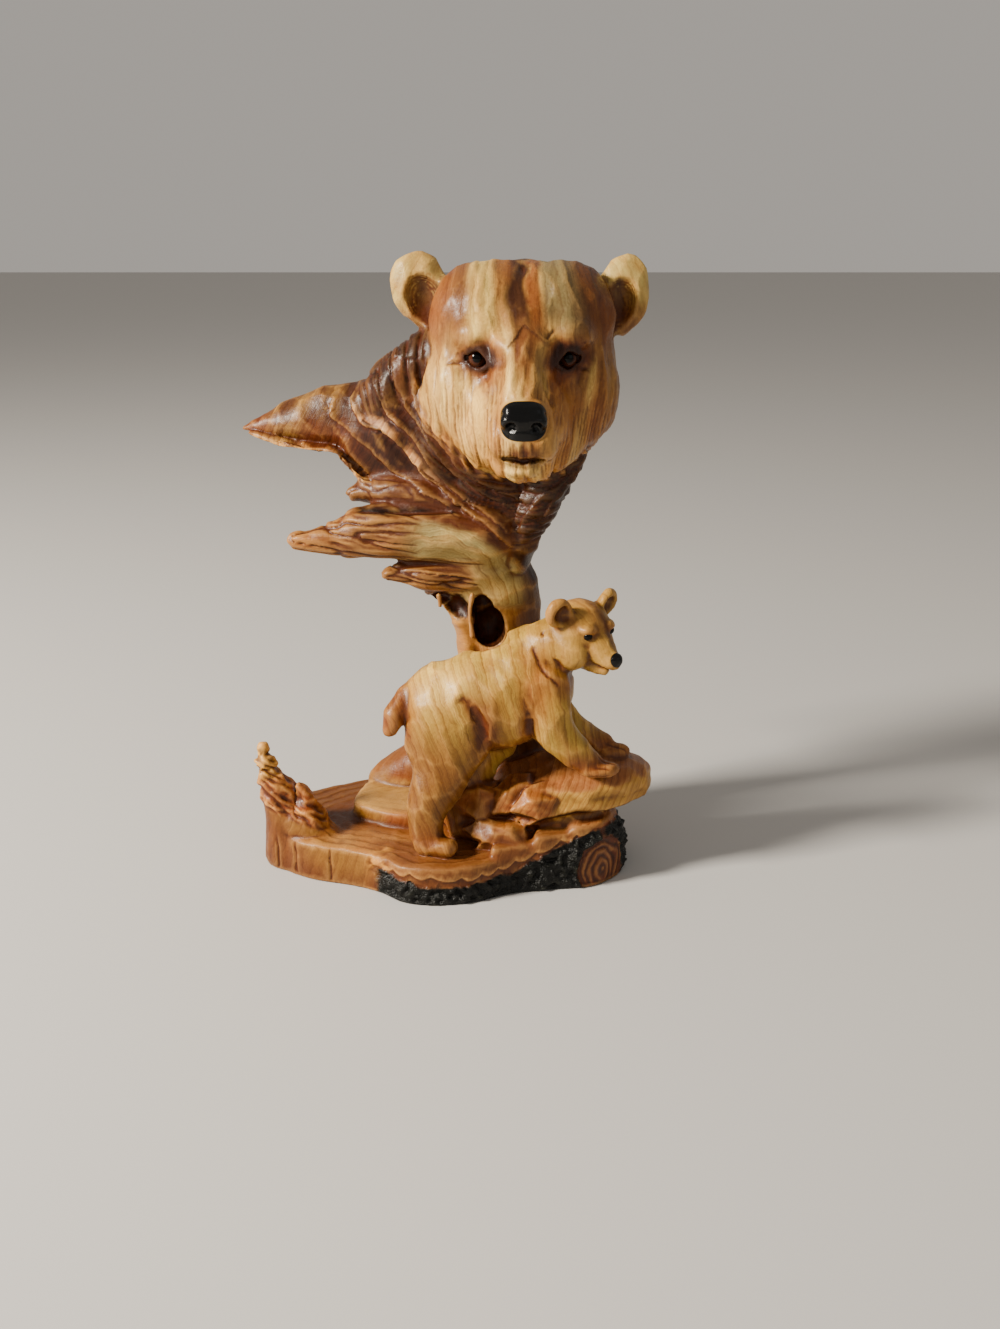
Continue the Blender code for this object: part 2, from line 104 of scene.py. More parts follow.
def limb(*stations, up=(0, -1, 0), sides=22):
    """A tapering limb: ellipses across a smooth path, with a quarter of an ellipse to round off each end.
    A station is x, y, z, half width, half depth. The half depth lies along up, the half width across it."""
    path = between([(*s, s[3]) if len(s) == 4 else s for s in stations])
    spots = path[:, :3]
    along = np.gradient(spots, axis=0)
    along /= np.linalg.norm(along, axis=1, keepdims=True)
    wide = np.cross(along, up)
    wide /= np.linalg.norm(wide, axis=1, keepdims=True)
    deep = np.cross(wide, along)
    w, d = np.maximum(path[:, 3], 0.2), np.maximum(path[:, 4], 0.2)
    dome = np.radians([80, 60, 40, 20])
    reach = np.minimum(w, d)
    spots = np.concatenate([
        spots[:1] - along[:1] * reach[0] * np.sin(dome)[:, None],
        spots,
        spots[-1:] + along[-1:] * reach[-1] * np.sin(dome[::-1])[:, None],
    ])
    shrink = np.concatenate([np.cos(dome), np.ones(len(path)), np.cos(dome[::-1])])
    pad = ((4, 4), (0, 0))
    wide, deep = np.pad(wide * w[:, None], pad, "edge"), np.pad(deep * d[:, None], pad, "edge")
    turn = np.linspace(0, 2 * math.pi, sides, endpoint=False)[None, :, None]
    section = wide[:, None] * np.cos(turn) + deep[:, None] * np.sin(turn)
    return skin_of_rings(spots[:, None] + section * shrink[:, None, None])


def slab(outline, low, high):
    """An upright block: a smooth closed curve through the outline, at its two heights."""
    ring = between(outline, closed=True)
    foot = np.column_stack([ring, np.full(len(ring), low)])
    return skin_of_rings(np.stack([foot, foot + np.array([0, 0, high - low])]))


def rock(centre, radii, turn=(0, 0, 0)):
    """A faceted lump: an ellipsoid of only three latitudes and five longitudes, the middle ones turned."""
    up = np.radians([-48, 2, 50])[:, None]
    round_it = np.radians(np.arange(0, 360, 72))[None] + np.radians([[0], [36], [0]])
    return globe(up, round_it, centre, radii, turn, swell=1.12)


# The mother's head: a broad frontal bear's face with round dished ears, part of the one resin casting.

FACE_X = 23.4


def side_egg(side, centre, radii, turn=(0, 0, 0)):
    """An ellipsoid at this distance to one side of the face's middle."""
    place = (FACE_X + side * centre[0], centre[1], centre[2])
    return egg(place, radii, (turn[0], side * turn[1], side * turn[2]))


def both(centre, radii, turn=(0, 0, 0)):
    """The two ellipsoids that mirror each other in the plane of the face."""
    return [side_egg(side, centre, radii, turn) for side in (-1, 1)]


head = [
    egg((FACE_X, 6, 192), (34, 31, 33.6)),
    egg((FACE_X, -10, 168), (24.5, 21.5, 17)),
    egg((FACE_X, -30, 159), (12, 9, 7)),
    limb(
        (FACE_X, -13, 206, 15, 9), (FACE_X, -24, 194, 12, 9),
        (FACE_X, -33, 184, 10.5, 9), (FACE_X, -39, 177, 10, 8),
    ),
    limb((FACE_X, -14, 176, 21, 19), (FACE_X, -27, 172, 17, 15), (FACE_X, -36, 169, 13, 11.5), up=(0, 0, 1)),
    *both((13, 1, 204), (21, 22, 21.4)),
    *both((18, -1, 180), (17.6, 21, 22.5), (0, 9, 0)),
    *both((15, -17, 202), (11, 9, 7), (0, 10, 0)),
]
EARS = [(-1, (36.2, 9, 215.0), (10.6, 5.5, 13.4), 14), (1, (36.0, 9, 212.8), (9.8, 5.5, 14.4), 8)]
ears = [side_egg(s, centre, radii, (0, lean, 0)) for s, centre, radii, lean in EARS]
ears += [limb((FACE_X + s * 24, 8, 207, 8.5), (FACE_X + s * 33, 9, 209, 8)) for s in (-1, 1)]


# The neck and the driftwood: the mane runs down into a weathered trunk that throws splinters to the left.

neck = [
    limb(
        (18, 12, 186, 30, 26), (12, 12, 160, 31, 24), (12, 10, 140, 23, 18), (8.5, 9, 118, 17, 14),
        (14, 13, 100, 17, 14), (15, 18, 78, 16, 14), (15, 20, 50, 18, 16), (14, 18, 22, 28, 21),
    ),
    limb(
        (35, -3, 159, 12, 9), (31.5, -3, 145, 8.6, 9), (24.5, 2, 128, 6.8, 9),
        (19, 8, 112, 6, 7), (17, 15, 96, 4, 5),
    ),
    limb((-1, 8, 197, 9, 12), (-15, 8, 188.5, 9, 11), (-27, 10, 178, 8.5, 10)),
]
wing = [
    limb(
        (8, 14, 166, 30, 20), (-18, 15, 165, 28, 17), (-31, 16, 164, 20, 13.5), (-42, 17, 168, 13.4, 10.5),
        (-60, 19, 166.5, 9, 8), (-74, 20, 164.5, 3.8, 4), (-80, 20, 164, 1.2, 2),
    ),
    limb(
        (-77, 17, 162.6, 0.8, 2.6), (-68, 14, 160, 1.5, 5), (-57, 12, 158.2, 1.7, 6),
        (-45, 10, 156.8, 1.7, 6), (-38.6, 9, 151, 1.7, 5), (-34, 8, 146, 1.4, 4),
    ),
]
splinters = [
    limb((0, 5, 141, 8, 12), (-22, 7, 143, 7, 10), (-33, 8, 142.6, 4.6, 6), (-38.6, 8, 141.4, 2.6, 4)),
    limb(
        (10, 2, 129, 14, 13), (-12, 1, 129, 12, 12), (-31, 0, 129, 10.2, 9), (-41, 0, 127, 7.8, 7),
        (-50, 0, 126, 5, 4.5), (-60, 0, 125, 2.8, 3),
    ),
    limb((6, 6, 114, 9, 11), (-10, 2, 112.5, 6.5, 9), (-19, 0, 113.5, 4.5, 6), (-26, -2, 113, 2.2, 3)),
    limb((-10, 5, 105.5, 2.6, 6), (-3.6, 8, 99.5, 2.7, 6), (2, 10, 90, 2.9, 6), (4, 13, 78, 3.6, 7)),
]

# The cub: it stands side on with its front paws on the log end and turns its head to the viewer.


def hind_leg(y, shift):
    """Thigh, shank and short foot of one hind leg, at this depth and this far along."""
    return [
        egg((-3 + shift, y, 58), (16, 9.5, 19), (0, 14, 0)),
        limb(
            (-4 + shift, y - 1, 54, 13.5, 8), (-7 + shift, y - 3, 43, 10.2, 7.5),
            (-10.2 + shift, y - 4, 35, 8.8, 7), (-11.8 + shift, y - 5, 28, 7.2, 6.4),
            (-11 + shift, y - 6, 21, 6.6, 6),
        ),
        limb((-11.5 + shift, y - 7, 19, 6, 4.6), (-3.4 + shift, y - 10, 18.4, 5, 3.8), up=(0, 0, 1)),
    ]


def front_leg(top, elbow, wrist, paw):
    """One front leg, from the shoulder to the paw on the log end."""
    return [
        limb((*top, 10.5, 8), (*elbow, 8.4, 7), (*wrist, 6.4, 5.6), (*paw, 5.2, 4.4)),
        egg((paw[0] + 2.5, paw[1] - 1, paw[2] - 1.8), (7.8, 5.8, 3.4)),
    ]


CUB_FACE = np.array([44.0, -19.5, 95.5])
CUB_YAW, CUB_NOD = -46, 17
CUB_TURN = rotation((0, CUB_NOD, CUB_YAW))


def in_cub_face(ahead, left, above):
    """A point of the cub's head in the statue's frame, from its place ahead, left and above its middle."""
    return tuple(CUB_FACE + CUB_TURN @ np.array([ahead, left, above]))


def cub_egg(place, radii, spin=0):
    """An ellipsoid of the cub's head, turned with it and spun this much further."""
    return egg(in_cub_face(*place), radii, (0, CUB_NOD, CUB_YAW + spin))


cub_torso = [
    limb(
        (-5, -19, 66, 18.5, 16), (6, -19, 68.5, 18.8, 17), (17, -19, 71, 19.2, 17), (26.5, -18, 77, 19, 15.5),
    ),
    egg((25, -15, 83.5), (13.5, 11, 13.5)),
    *hind_leg(-27, 0),
    *hind_leg(-12, 12),
    *front_leg((31, -26, 79), (33.6, -29, 65), (41.6, -28.5, 54), (49.4, -26.8, 47.6)),
    *front_leg((30, -11, 74), (36, -8, 60), (45.4, -6, 51), (55, -6, 46.6)),
    limb((29, -17, 85, 12.5, 12.5), (36, -18, 90, 11.5, 12), (41.5, -19, 94, 10, 11)),
]
cub_tail = [limb((-18, -21, 73, 4.5), (-22.5, -25, 67, 4), (-25, -27, 60.5, 3))]
cub_head = [
    cub_egg((0, 0, 0.6), (12, 12, 12.2)),
    *[cub_egg((2.5, s * 6.5, -3.5), (9, 6.4, 8)) for s in (-1, 1)],
    *[cub_egg((7.8, s * 5.0, 6.9), (3.2, 3.4, 1.9)) for s in (-1, 1)],
    limb((*in_cub_face(6, 0, 2), 7), (*in_cub_face(13, 0, -1), 5.2), (*in_cub_face(17.6, 0, -1.8), 3.8)),
    limb((*in_cub_face(6, 0, -6), 5.5), (*in_cub_face(13, 0, -6.6), 3.4), (*in_cub_face(15.4, 0, -6.8), 2.4)),
    cub_egg((19.4, 0, -0.4), (2.5, 2.9, 2.5)),
]
CUB_EARS = [(-1, -1.2, 12.6), (1, 0.2, 11.4)]
cub_ears = [
    form
    for s, ahead, out in CUB_EARS
    for form in (
        cub_egg((ahead, s * out, 10.4), (3.1, 5.4, 5.7), s * 14),
        limb((*in_cub_face(ahead, s * 7, 6), 3.8), (*in_cub_face(ahead, s * 10.5, 9), 3.6)),
    )
]

# The ground: a bark-edged slab with a raised step, a flat log end, lumps of root and a broken spire.

BASE_OUTLINE = [
    (-73, 2), (-70, -14), (-57, -25), (-40, -31), (-29, -37), (-20, -45), (-8, -47.5), (6, -45),
    (20, -38), (36, -34.5), (50, -32), (60, -23), (63.5, -12), (62, 6), (55, 22), (40, 36),
    (15, 44), (-10, 46.5), (-34, 42), (-56, 31), (-69, 17),
]
RIM = 15.0
ground = [
    slab(BASE_OUTLINE, -5, RIM),
    slab(
        [(12, -39), (20, -37.5), (36, -34), (50, -31.5), (59, -23), (62, -10),
         (46, -8), (26, -18), (16, -28)],
        0, 19.5,
    ),
    slab([(28, -35.5), (38, -33.5), (50, -31), (58, -22), (60, -10), (46, -8), (34, -16)], 0, 22.5),
    slab([(42, -32.5), (51, -30.5), (58, -22), (60, -10), (50, -8), (42, -20)], 0, 25),
    slab([(34, -27.5), (48, -26.5), (55, -20), (56, -8), (44, 0), (34, -10)], 0, 32),
    slab(
        [(-42, 2), (-33, -8), (-20, -13), (-6, -10), (20, -10), (45, 0),
         (50, 20), (20, 34), (-15, 37), (-36, 24)],
        0, 21.5,
    ),
    limb((-30, 24, 18, 10, 8), (-14, 22, 28, 12, 12), (2, 20, 36, 14, 14)),
    limb((44, -14, 12, 17, 16), (42, -12, 32, 14, 14)),
    limb((14, -15, 22, 10, 8), (27, -18, 25, 9, 8), (42, -18, 26, 8, 8), up=(0, 0, 1)),
]
rocks = [
    rock((10, -19, 26), (13, 9, 12), (10, 20, 15)),
    rock((22, -21, 31), (11, 8, 9), (0, -15, 40)),
    rock((15, -29, 19), (13, 7, 7), (0, 8, -12)),
    rock((30, -27, 31), (11, 7, 8), (25, 0, 30)),
    rock((3, -15, 19), (9, 9, 8), (0, 30, 70)),
]
log_end = [
    slab(
        [(20, -20), (27, -28), (40, -31), (55, -28), (68, -19),
         (74, -6), (69, 8), (57, 15), (40, 14), (24, 4)],
        29, 38.5,
    ),
    limb(
        (20, -8, 30, 15, 8), (34, -8, 34, 21, 9), (48, -8, 37, 22, 8),
        (60, -7, 37.5, 19, 6.5), (67, -6, 36, 12, 6),
        up=(0, 0, 1),
    ),
]
spire = [
    limb((-64, -7, 4, 12, 12), (-65.5, -9, 18, 9.5, 9.5), (-69, -11, 30, 6.6, 6.6), (-72, -12, 37, 4.2, 4.2)),
    limb(
        (-56, -14, 4, 10, 9), (-57, -14, 18, 7.5, 7),
        (-59, -13.5, 28, 3.4, 4), (-60.3, -13.5, 34, 1.0, 1.4),
    ),
    limb((-62, -12, 18, 8, 8), (-54, -14, 13, 7, 8), (-46, -14, 8, 6, 8)),
    rock((-73.2, -12, 42.2), (4.2, 4.0, 3.8), (0, 10, 20)),
    rock((-74, -12, 47.4), (2.6, 2.6, 3.4), (0, 10, 50)),
]

# The clay: the forms flow together where they meet, more on the faces and less on the broken wood.
# Each group of forms becomes a field of distances to its skin on one grid, so that they can be blended.

CELL = 0.55
BAND = 4.6
GRID_LOW = np.array([-88.0, -56.0, -6.0])
GRID_HIGH = np.array([82.0, 52.0, 234.0])
SHAPE = tuple(int(n) for n in (GRID_HIGH - GRID_LOW) / CELL)
CORNER = np.round(GRID_LOW / CELL).astype(int)


def field(*groups):
    """Distances in millimetres to the skin round these forms, negative inside and held within the band."""
    points, faces, count = [], [], 0
    for group in groups:
        for p, f in group:
            points.append(p)
            faces.append(f + count)
            count += len(p)
    grid = vdb.FloatGrid.createLevelSetFromPolygons(
        np.concatenate(points).astype(np.float32),
        triangles=np.concatenate(faces).astype(np.uint32),
        transform=vdb.createLinearTransform(voxelSize=CELL),
        halfWidth=BAND / CELL,
    )
    array = np.zeros(SHAPE, np.float32)
    grid.copyToArray(array, ijk=tuple(int(c) for c in CORNER))
    return array


def blurred(array, radius):
    """The field averaged over about this radius in millimetres: two box averages along each axis."""
    reach = max(1, int(round(radius / CELL * 0.9)))
    window = 2 * reach + 1
    for axis in range(3):
        pad = [(0, 0)] * 3
        pad[axis] = (reach + 1, reach)
        for _ in range(2):
            total = np.cumsum(np.pad(array, pad, "edge"), axis=axis, dtype=np.float32)
            low = [slice(None)] * 3
            high = [slice(None)] * 3
            low[axis], high[axis] = slice(0, array.shape[axis]), slice(window, window + array.shape[axis])
            array = (total[tuple(high)] - total[tuple(low)]) / np.float32(window)
    return array


def joined(a, b, blend):
    """The smooth union of two fields: the lesser, lowered where they are nearly equal, by up to a quarter of
    this blend in millimetres."""
    meet = np.maximum(blend - np.abs(a - b), 0) / blend
    return np.minimum(a, b) - meet * meet * blend / 4


def carved(a, b, blend):
    """Field a with the forms of b taken away, smoothly."""
    return -joined(-a, b, blend)


parts = {
    "head": field(head),
    "ears": field(ears),
    "neck": field(neck),
    "wing": field(wing),
    "splinters": field(splinters),
    "cub": field(cub_torso, cub_tail),
    "cub_face": field(cub_head, cub_ears),
    "ground": field(ground, log_end),
    "rocks": field(rocks, spire),
}
wood = joined(joined(parts["neck"], parts["wing"], 6.0), blurred(parts["splinters"], 0.8), 3.0)
bears = joined(joined(wood, blurred(parts["head"], 2.6), 2.0), blurred(parts["ears"], 1.0), 3.0)
cub = joined(blurred(parts["cub"], 1.5), blurred(parts["cub_face"], 0.7), 1.6)
land = joined(blurred(parts["ground"], 1.3), parts["rocks"], 1.0)
casting = joined(joined(bears, cub, 1.2), land, 1.6)
del wood, bears, cub, land


def front(x, z, lift=0.0):
    """The point of the skin that is nearest the viewer over this x and z, moved out by lift along Y."""
    i, k = (np.array([x, z]) / CELL - CORNER[[0, 2]]).round().astype(int)
    column = casting[i, :, k]
    j = int(np.argmax(column < 0))
    share = column[j - 1] / (column[j - 1] - column[j])
    return (x, (j - 1 + share + CORNER[1]) * CELL - lift, z)


# The crisp carving that is added and cut last: nose, lips, lids, ear cups, trunk hollows and broken ledges.

sockets = [
    *both((14.6, -33.5, 193.2), (8.2, 6.2, 5.4), (0, 14, 0)),
    *both((12.5, -35, 186), (5, 5, 7), (0, -20, 0)),
]
casting = carved(casting, field(sockets), 4.0)

added = [
    limb((FACE_X - 4.4, -43.2, 178.6, 2.8, 4.2), (FACE_X + 4.4, -43.2, 178.6, 2.8, 4.2)),
    limb((FACE_X - 4.6, -44.4, 175.4, 3.4, 4.4), (FACE_X + 4.6, -44.4, 175.4, 3.4, 4.4)),
    limb((FACE_X - 2.2, -43.6, 171.6, 2.8, 4.0), (FACE_X + 2.2, -43.6, 171.6, 2.8, 4.0)),
    *both((4.4, -39.0, 166.6), (6.4, 5, 4.6)),
    egg((FACE_X, -37.4, 158.0), (5.6, 4.2, 2.6)),
]
LID_CORNERS = ((11.2, 192.2), (15.0, 197.2), (19.6, 193.6), (15.4, 189.6))
for s in (-1, 1):
    inner, over, outer, under = (front(FACE_X + s * x, z) for x, z in LID_CORNERS)
    added.append(limb((*inner, 0.9), (*over, 1.7), (*outer, 0.9)))
    added.append(limb((*inner, 0.8), (*under, 1.1), (*outer, 0.8)))

cups = [
    side_egg(s, (x - 1.4, 1.2, z - 3.4), (w - 2.6, 6.6, h - 3.0), (0, lean + 4, 0))
    for s, (x, _, z), (w, _, h), lean in EARS
]
EYE_OUT, EYE_Z = 15.3, 193.4
eye_spots = [front(FACE_X + s * EYE_OUT, EYE_Z) for s in (-1, 1)]
hollows = [
    *cups,
    *[
        limb(
            (*front(FACE_X + s * 12.2, 192.8, -0.4), 1.6),
            (*front(FACE_X + s * EYE_OUT, EYE_Z), 3.2, 1.9),
            (*front(FACE_X + s * 18.6, EYE_Z, -0.4), 1.4),
        )
        for s in (-1, 1)
    ],
    *both((4.4, -49.4, 173.4), (2.3, 4.0, 2.0), (0, 25, 0)),
    limb((-72, 6, 156.4, 1.6, 4), (-57, 4, 153.6, 2.2, 5), (-45, 2, 151.6, 2.4, 5)),
    limb((-23, -10, 110.5, 1, 3), (-14, -9, 109, 2.2, 4.4), (-6, -8, 107.4, 1.2, 3)),
    limb((-13, -11, 119, 1, 3), (0, -11, 118, 2.0, 4), (11, -11, 116.5, 0.8, 3)),
    limb(
        (FACE_X - 7.4, -41, 162.2, 0.4, 3), (FACE_X - 3.2, -44.6, 161.9, 1.4, 4.4),
        (FACE_X, -45.4, 161.3, 1.4, 4.6),
        (FACE_X + 3.2, -44.6, 161.9, 1.4, 4.4), (FACE_X + 7.4, -41, 162.2, 0.4, 3),
    ),
    *[cub_egg((ahead + 2.6, s * (out - 0.3), 10.2), (3.0, 3.5, 3.9), s * 14) for s, ahead, out in CUB_EARS],
    limb((6.5, -36.6, 71, 1.6), (8.8, -36.6, 65, 2.8, 3), (9, -35.8, 57, 3, 3), (7.8, -34.4, 50, 2.2)),
    limb(
        (*in_cub_face(13.6, -4.6, -5.0), 0.4), (*in_cub_face(17.6, 0, -4.9), 0.6, 1.6),
        (*in_cub_face(13.6, 4.6, -5.0), 0.4),
    ),
]
caves = [
    limb((11.5, -14, 91.5, 6.8, 8.5), (11.5, 8, 91.5, 6, 8), up=(0, 0, 1)),
    limb((8.5, -14, 99.5, 4.6, 6.2), (9, 8, 98, 4, 6), up=(0, 0, 1)),
    egg((-0.6, -3, 98.8), (5.2, 10, 6.4), (0, -20, 0)),
    egg((-6.6, -2, 102.8), (5.4, 9, 3.0), (0, 12, 0)),
]
parts["caves"] = field(caves)
parts["cups"] = field(cups)
casting = joined(casting, field(added), 1.2)
casting = carved(carved(casting, field(hollows), 0.9), parts["caves"], 1.2)
strands = [
    limb((5.2, -6, 106, 0.9), (4.4, -7, 99, 0.7), (5.4, -8, 91, 1.1)),
    limb((-7.0, -6, 106, 0.8), (-6.6, -6, 102, 0.7)),
]
casting = joined(casting, field(strands), 0.8)

level = (CORNER[2] + np.arange(SHAPE[2])) * CELL
casting = np.maximum(casting, -level[None, None].astype(np.float32))
grid = vdb.FloatGrid(BAND)
grid.copyFromArray(casting, ijk=tuple(int(c) for c in CORNER))
grid.transform = vdb.createLinearTransform(voxelSize=CELL)
points, _, quads = grid.convertToPolygons(isovalue=0.0, adaptivity=0.0)

# The skin as points and four-cornered faces. What follows carves it along its own normals.

skin = points.astype(float)
faces = quads[:, ::-1].astype(np.int64)
count = len(skin)
ends = np.concatenate([faces[:, [0, 1]], faces[:, [1, 2]], faces[:, [2, 3]], faces[:, [3, 0]]])
tails, heads = ends.T
degree = np.maximum(np.bincount(tails, minlength=count) + np.bincount(heads, minlength=count), 1)


def averaged(values, passes=1):
    """Each point's value replaced by the mean over its neighbours, this many times."""
    values = values if values.ndim == 2 else values[:, None]
    for _ in range(passes):
        sums = [
            np.bincount(tails, v[heads], minlength=count) + np.bincount(heads, v[tails], minlength=count)
            for v in values.T
        ]
        values = np.stack(sums, -1) / degree[:, None]
    return values if values.shape[1] > 1 else values[:, 0]


def outward(at):
    """Unit normals of the skin's points, from the diagonals of the faces round each."""
    across = np.cross(at[faces[:, 2]] - at[faces[:, 0]], at[faces[:, 3]] - at[faces[:, 1]])
    total = np.stack([
        sum(np.bincount(faces[:, c], across[:, axis], minlength=count) for c in range(4)) for axis in range(3)
    ], -1)
    return total / np.maximum(np.linalg.norm(total, axis=1, keepdims=True), 1e-9)


volume = np.einsum("ij,ij->i", skin[faces[:, 0]], np.cross(skin[faces[:, 1]], skin[faces[:, 2]])).sum()
if volume < 0:
    faces = faces[:, ::-1]
skin = skin * 0.5 + averaged(skin) * 0.5
normal = outward(skin)
X, Y, Z = skin.T


def step(low, high, value):
    """0 below low, 1 above high and a smooth rise between, 3t squared less 2t cubed.
    It falls where low is above high."""
    t = np.clip((value - low) / (high - low), 0, 1)
    return t * t * (3 - 2 * t)


def bell(value):
    """A bell curve: 1 at 0, and e to the minus value squared away from it."""
    return np.exp(-(value**2))


def scrambled(cells, seed):
    """A random-looking whole number for each lattice cell: its indices times large primes, folded by
    exclusive or, then folded and multiplied once more and cut to 31 bits."""
    i, j, k = cells.T
    folded = (i * 73856093) ^ (j * 19349663) ^ (k * 83492791) ^ (seed * 50331653)
    return ((folded ^ (folded >> 13)) * 1274126177) & 0x7FFFFFFF


def noise(at, size, seed=0):
    """Smooth noise from -1 to 1: random values on a lattice of this size in mm, blended by cubics."""
    q = np.asarray(at) / np.asarray(size, float)
    cell = np.floor(q).astype(np.int64)
    t = q - cell
    t = t * t * (3 - 2 * t)
    total = 0
    for corner in range(8):
        bits = np.array([corner & 1, corner >> 1 & 1, corner >> 2 & 1])
        chance = scrambled(cell + bits, seed)
        value = ((chance ^ (chance >> 15)) & 0xFFFF) / 32767.5 - 1
        total = total + value * np.prod(np.where(bits, t, 1 - t), axis=1)
    return total


def patchy(low, high, at, size, seed):
    """Smooth patches from 0 to 1: noise of this size, stepped between low and high."""
    return step(low, high, noise(at, size, seed))


def gouged(at, size, seed=0, level=0.3):
    """Shallow scoops with sharp ridges between them, as a gouge leaves: the squared distance to the nearest
    of scattered points, one in each cell of a lattice of this size in millimetres, less its usual level."""
    q = np.asarray(at) / np.asarray(size, float)
    cell = np.floor(q).astype(np.int64)
    nearest = np.full(len(q), 9.0)
    for corner in np.ndindex(3, 3, 3):
        here = cell + np.array(corner) - 1
        chance = scrambled(here, seed)
        spread = np.stack([(chance >> shift & 0x3FF) / 1023.0 for shift in (2, 11, 20)], -1)
        nearest = np.minimum(nearest, ((here + spread - q) ** 2).sum(1))
    return nearest - level


def line_on_skin(line, reach):
    """For each point within reach of a smooth line: its index, signed distance and share of the run.
    The sign is positive on the left of the line's run, as it is seen from outside."""
    path = between(line)
    low, high = path.min(0) - reach, path.max(0) + reach
    index = np.flatnonzero(((skin > low) & (skin < high)).all(1))
    at = skin[index]
    best = np.full(len(index), 1e9)
    gap, way, share = np.zeros((len(index), 3)), np.zeros((len(index), 3)), np.zeros(len(index))
    for n, (a, b) in enumerate(zip(path[:-1], path[1:])):
        run = b - a
        t = np.clip((at - a) @ run / max(run @ run, 1e-9), 0, 1)
        off = at - (a + t[:, None] * run)
        far = np.linalg.norm(off, axis=1)
        nearer = far < best
        best[nearer], gap[nearer], way[nearer] = far[nearer], off[nearer], run
        share[nearer] = (n + t[nearer]) / (len(path) - 1)
    side = np.sign(np.einsum("ij,ij->i", np.cross(normal[index], way), gap))
    near = best < reach
    return index[near], (best * side)[near], share[near]


def depth_in(name):
    """The skin points' distances to one group of forms, from the nearest cells of its field."""
    at = np.clip((skin / CELL - CORNER).round().astype(int), 0, np.array(SHAPE) - 1)
    return parts[name][at[:, 0], at[:, 1], at[:, 2]].astype(float)


zones = [name for name in parts if name not in ("caves", "cups")]
ZONE_EDGE = 0.7
weights = {name: np.exp(-np.clip(depth_in(name), -3, BAND) / ZONE_EDGE) for name in zones}
total_weight = sum(weights.values())
zone = {name: averaged(w / total_weight, 2) for name, w in weights.items()}
in_caves, in_cups = (step(0.9, -0.3, depth_in(name)) for name in ("caves", "cups"))
rise = np.zeros(count)

# The mother's fur: gouge strokes and fine lines that run down her face like the meridians of a globe.

across = X - FACE_X
meridian = across / np.sqrt(np.clip(1 - ((Z - 190) / 60) ** 2, 0.2, 1))
on_face = zone["head"] * step(24, 6, Y)
NOSE_Z = 175.4
on_nose = step(1.35, 0.95, (np.abs(across) / 8.1) ** 3 + (np.abs(Z - NOSE_Z) / 7.0) ** 3) * step(-39, -41, Y)
fur = on_face * (1 - on_nose)
drift = noise(skin, (15, 15, 28), 1)
stroke = (meridian / 4.4 + 0.6 * drift) % 1.0
hair = np.cos(2 * math.pi * (meridian / 1.3 + 0.9 * drift + 0.5 * noise(skin, (5, 5, 12), 2)))
jowl = step(188, 172, Z)
rise += fur * (0.16 + 0.3 * jowl) * (stroke - 0.5) * (0.6 + 0.6 * noise(skin, (9, 9, 12), 3))
rise += fur * (0.05 + 0.08 * jowl) * hair * patchy(-0.5, 0.5, skin, (7, 7, 14), 4) * step(204, 192, Z)
facing = np.stack([meridian + 2.5 * drift, Y * 0.7, Z], -1)
rise += fur * 1.5 * gouged(facing, (6.0, 9, 14), 90)
rise += fur * (0.55 * step(200, 188, Z) + 0.15) * gouged(facing, (2.6, 5, 8), 91)
rise += zone["ears"] * (1 - in_cups) * (0.25 * noise(skin, (3, 4, 7), 5) + 1.2 * gouged(skin, (5, 5, 8), 92))

# The brow: two lobes that end over the bridge of the nose in a wedge.
from_wedge = across - 0.2
wedge_z = 204.6 - 1.2 * np.maximum(-from_wedge, 0) - 0.78 * np.maximum(from_wedge, 0)
over_wedge = Z - wedge_z + 0.5 * noise(skin, (3, 3, 3), 6)
lobe = step(-0.7, 0.5, over_wedge) * np.exp(-np.maximum(over_wedge, 0) / 4)
right_end = step(8.4, 7.4, from_wedge - 0.9 * np.maximum(over_wedge, 0))
lobe = lobe * step(-7.5, -4.5, from_wedge) * right_end * on_face
rise += 0.5 * lobe
brow_edge_shade = bell(over_wedge / 0.55) * step(-7, -4.5, from_wedge) * step(9, 6, from_wedge) * on_face

CREASES = [
    ([(23.4, -4, 224), (23.5, -12.2, 215.6), (23.7, -23.2, 206.3)], 0.9, 0.8),
    ([(30.7, -27.6, 199.8), (34.8, -23.2, 203.7), (38.5, -22.5, 205.2)], 0.6, 0.5),
    ([(5.0, -22, 193), (0.8, -17.3, 191.6), (-3, -15.5, 190.8)], 0.7, 0.8),
    ([(2, -18, 194.5), (-2, -16, 194), (-5, -13.5, 193)], 0.6, 0.4),
    ([(41.2, -22, 191.2), (45.2, -18.2, 189.4), (47.5, -17, 187.6)], 0.7, 0.8),
    ([(38.5, -24, 199.6), (42, -23, 200.2), (45, -22, 198.6)], 0.5, 0.5),
    ([(17.5, -40.5, 161.8), (15, -36.5, 162.4), (12.2, -31, 165)], 0.6, 0.7),
    ([(29.6, -40.5, 161.8), (33.4, -37.0, 162.6), (37.4, -28.5, 165)], 0.6, 0.8),
    ([(23.4, -50, 170.5), (23.5, -48, 167), (23.5, -46, 162.5)], 0.5, 0.9),
    ([(-6.5, -13.5, 169.5), (-3, -15.5, 165), (0, -15.6, 161.6), (8, -15.7, 155.3), (17, -12, 150)],
     0.8, 0.8),
]
crease = np.zeros(count)
for line, width, depth in CREASES:
    index, far, share = line_on_skin(line, 3.0)
    cut = bell(far / width) * step(0, 0.12, share) * step(1, 0.85, share)
    crease[index] = np.maximum(crease[index], cut * min(1, depth))
    rise[index] -= cut * depth

# The mane: long folds that overlap like shingles, each with a sharp edge on its lower left side.

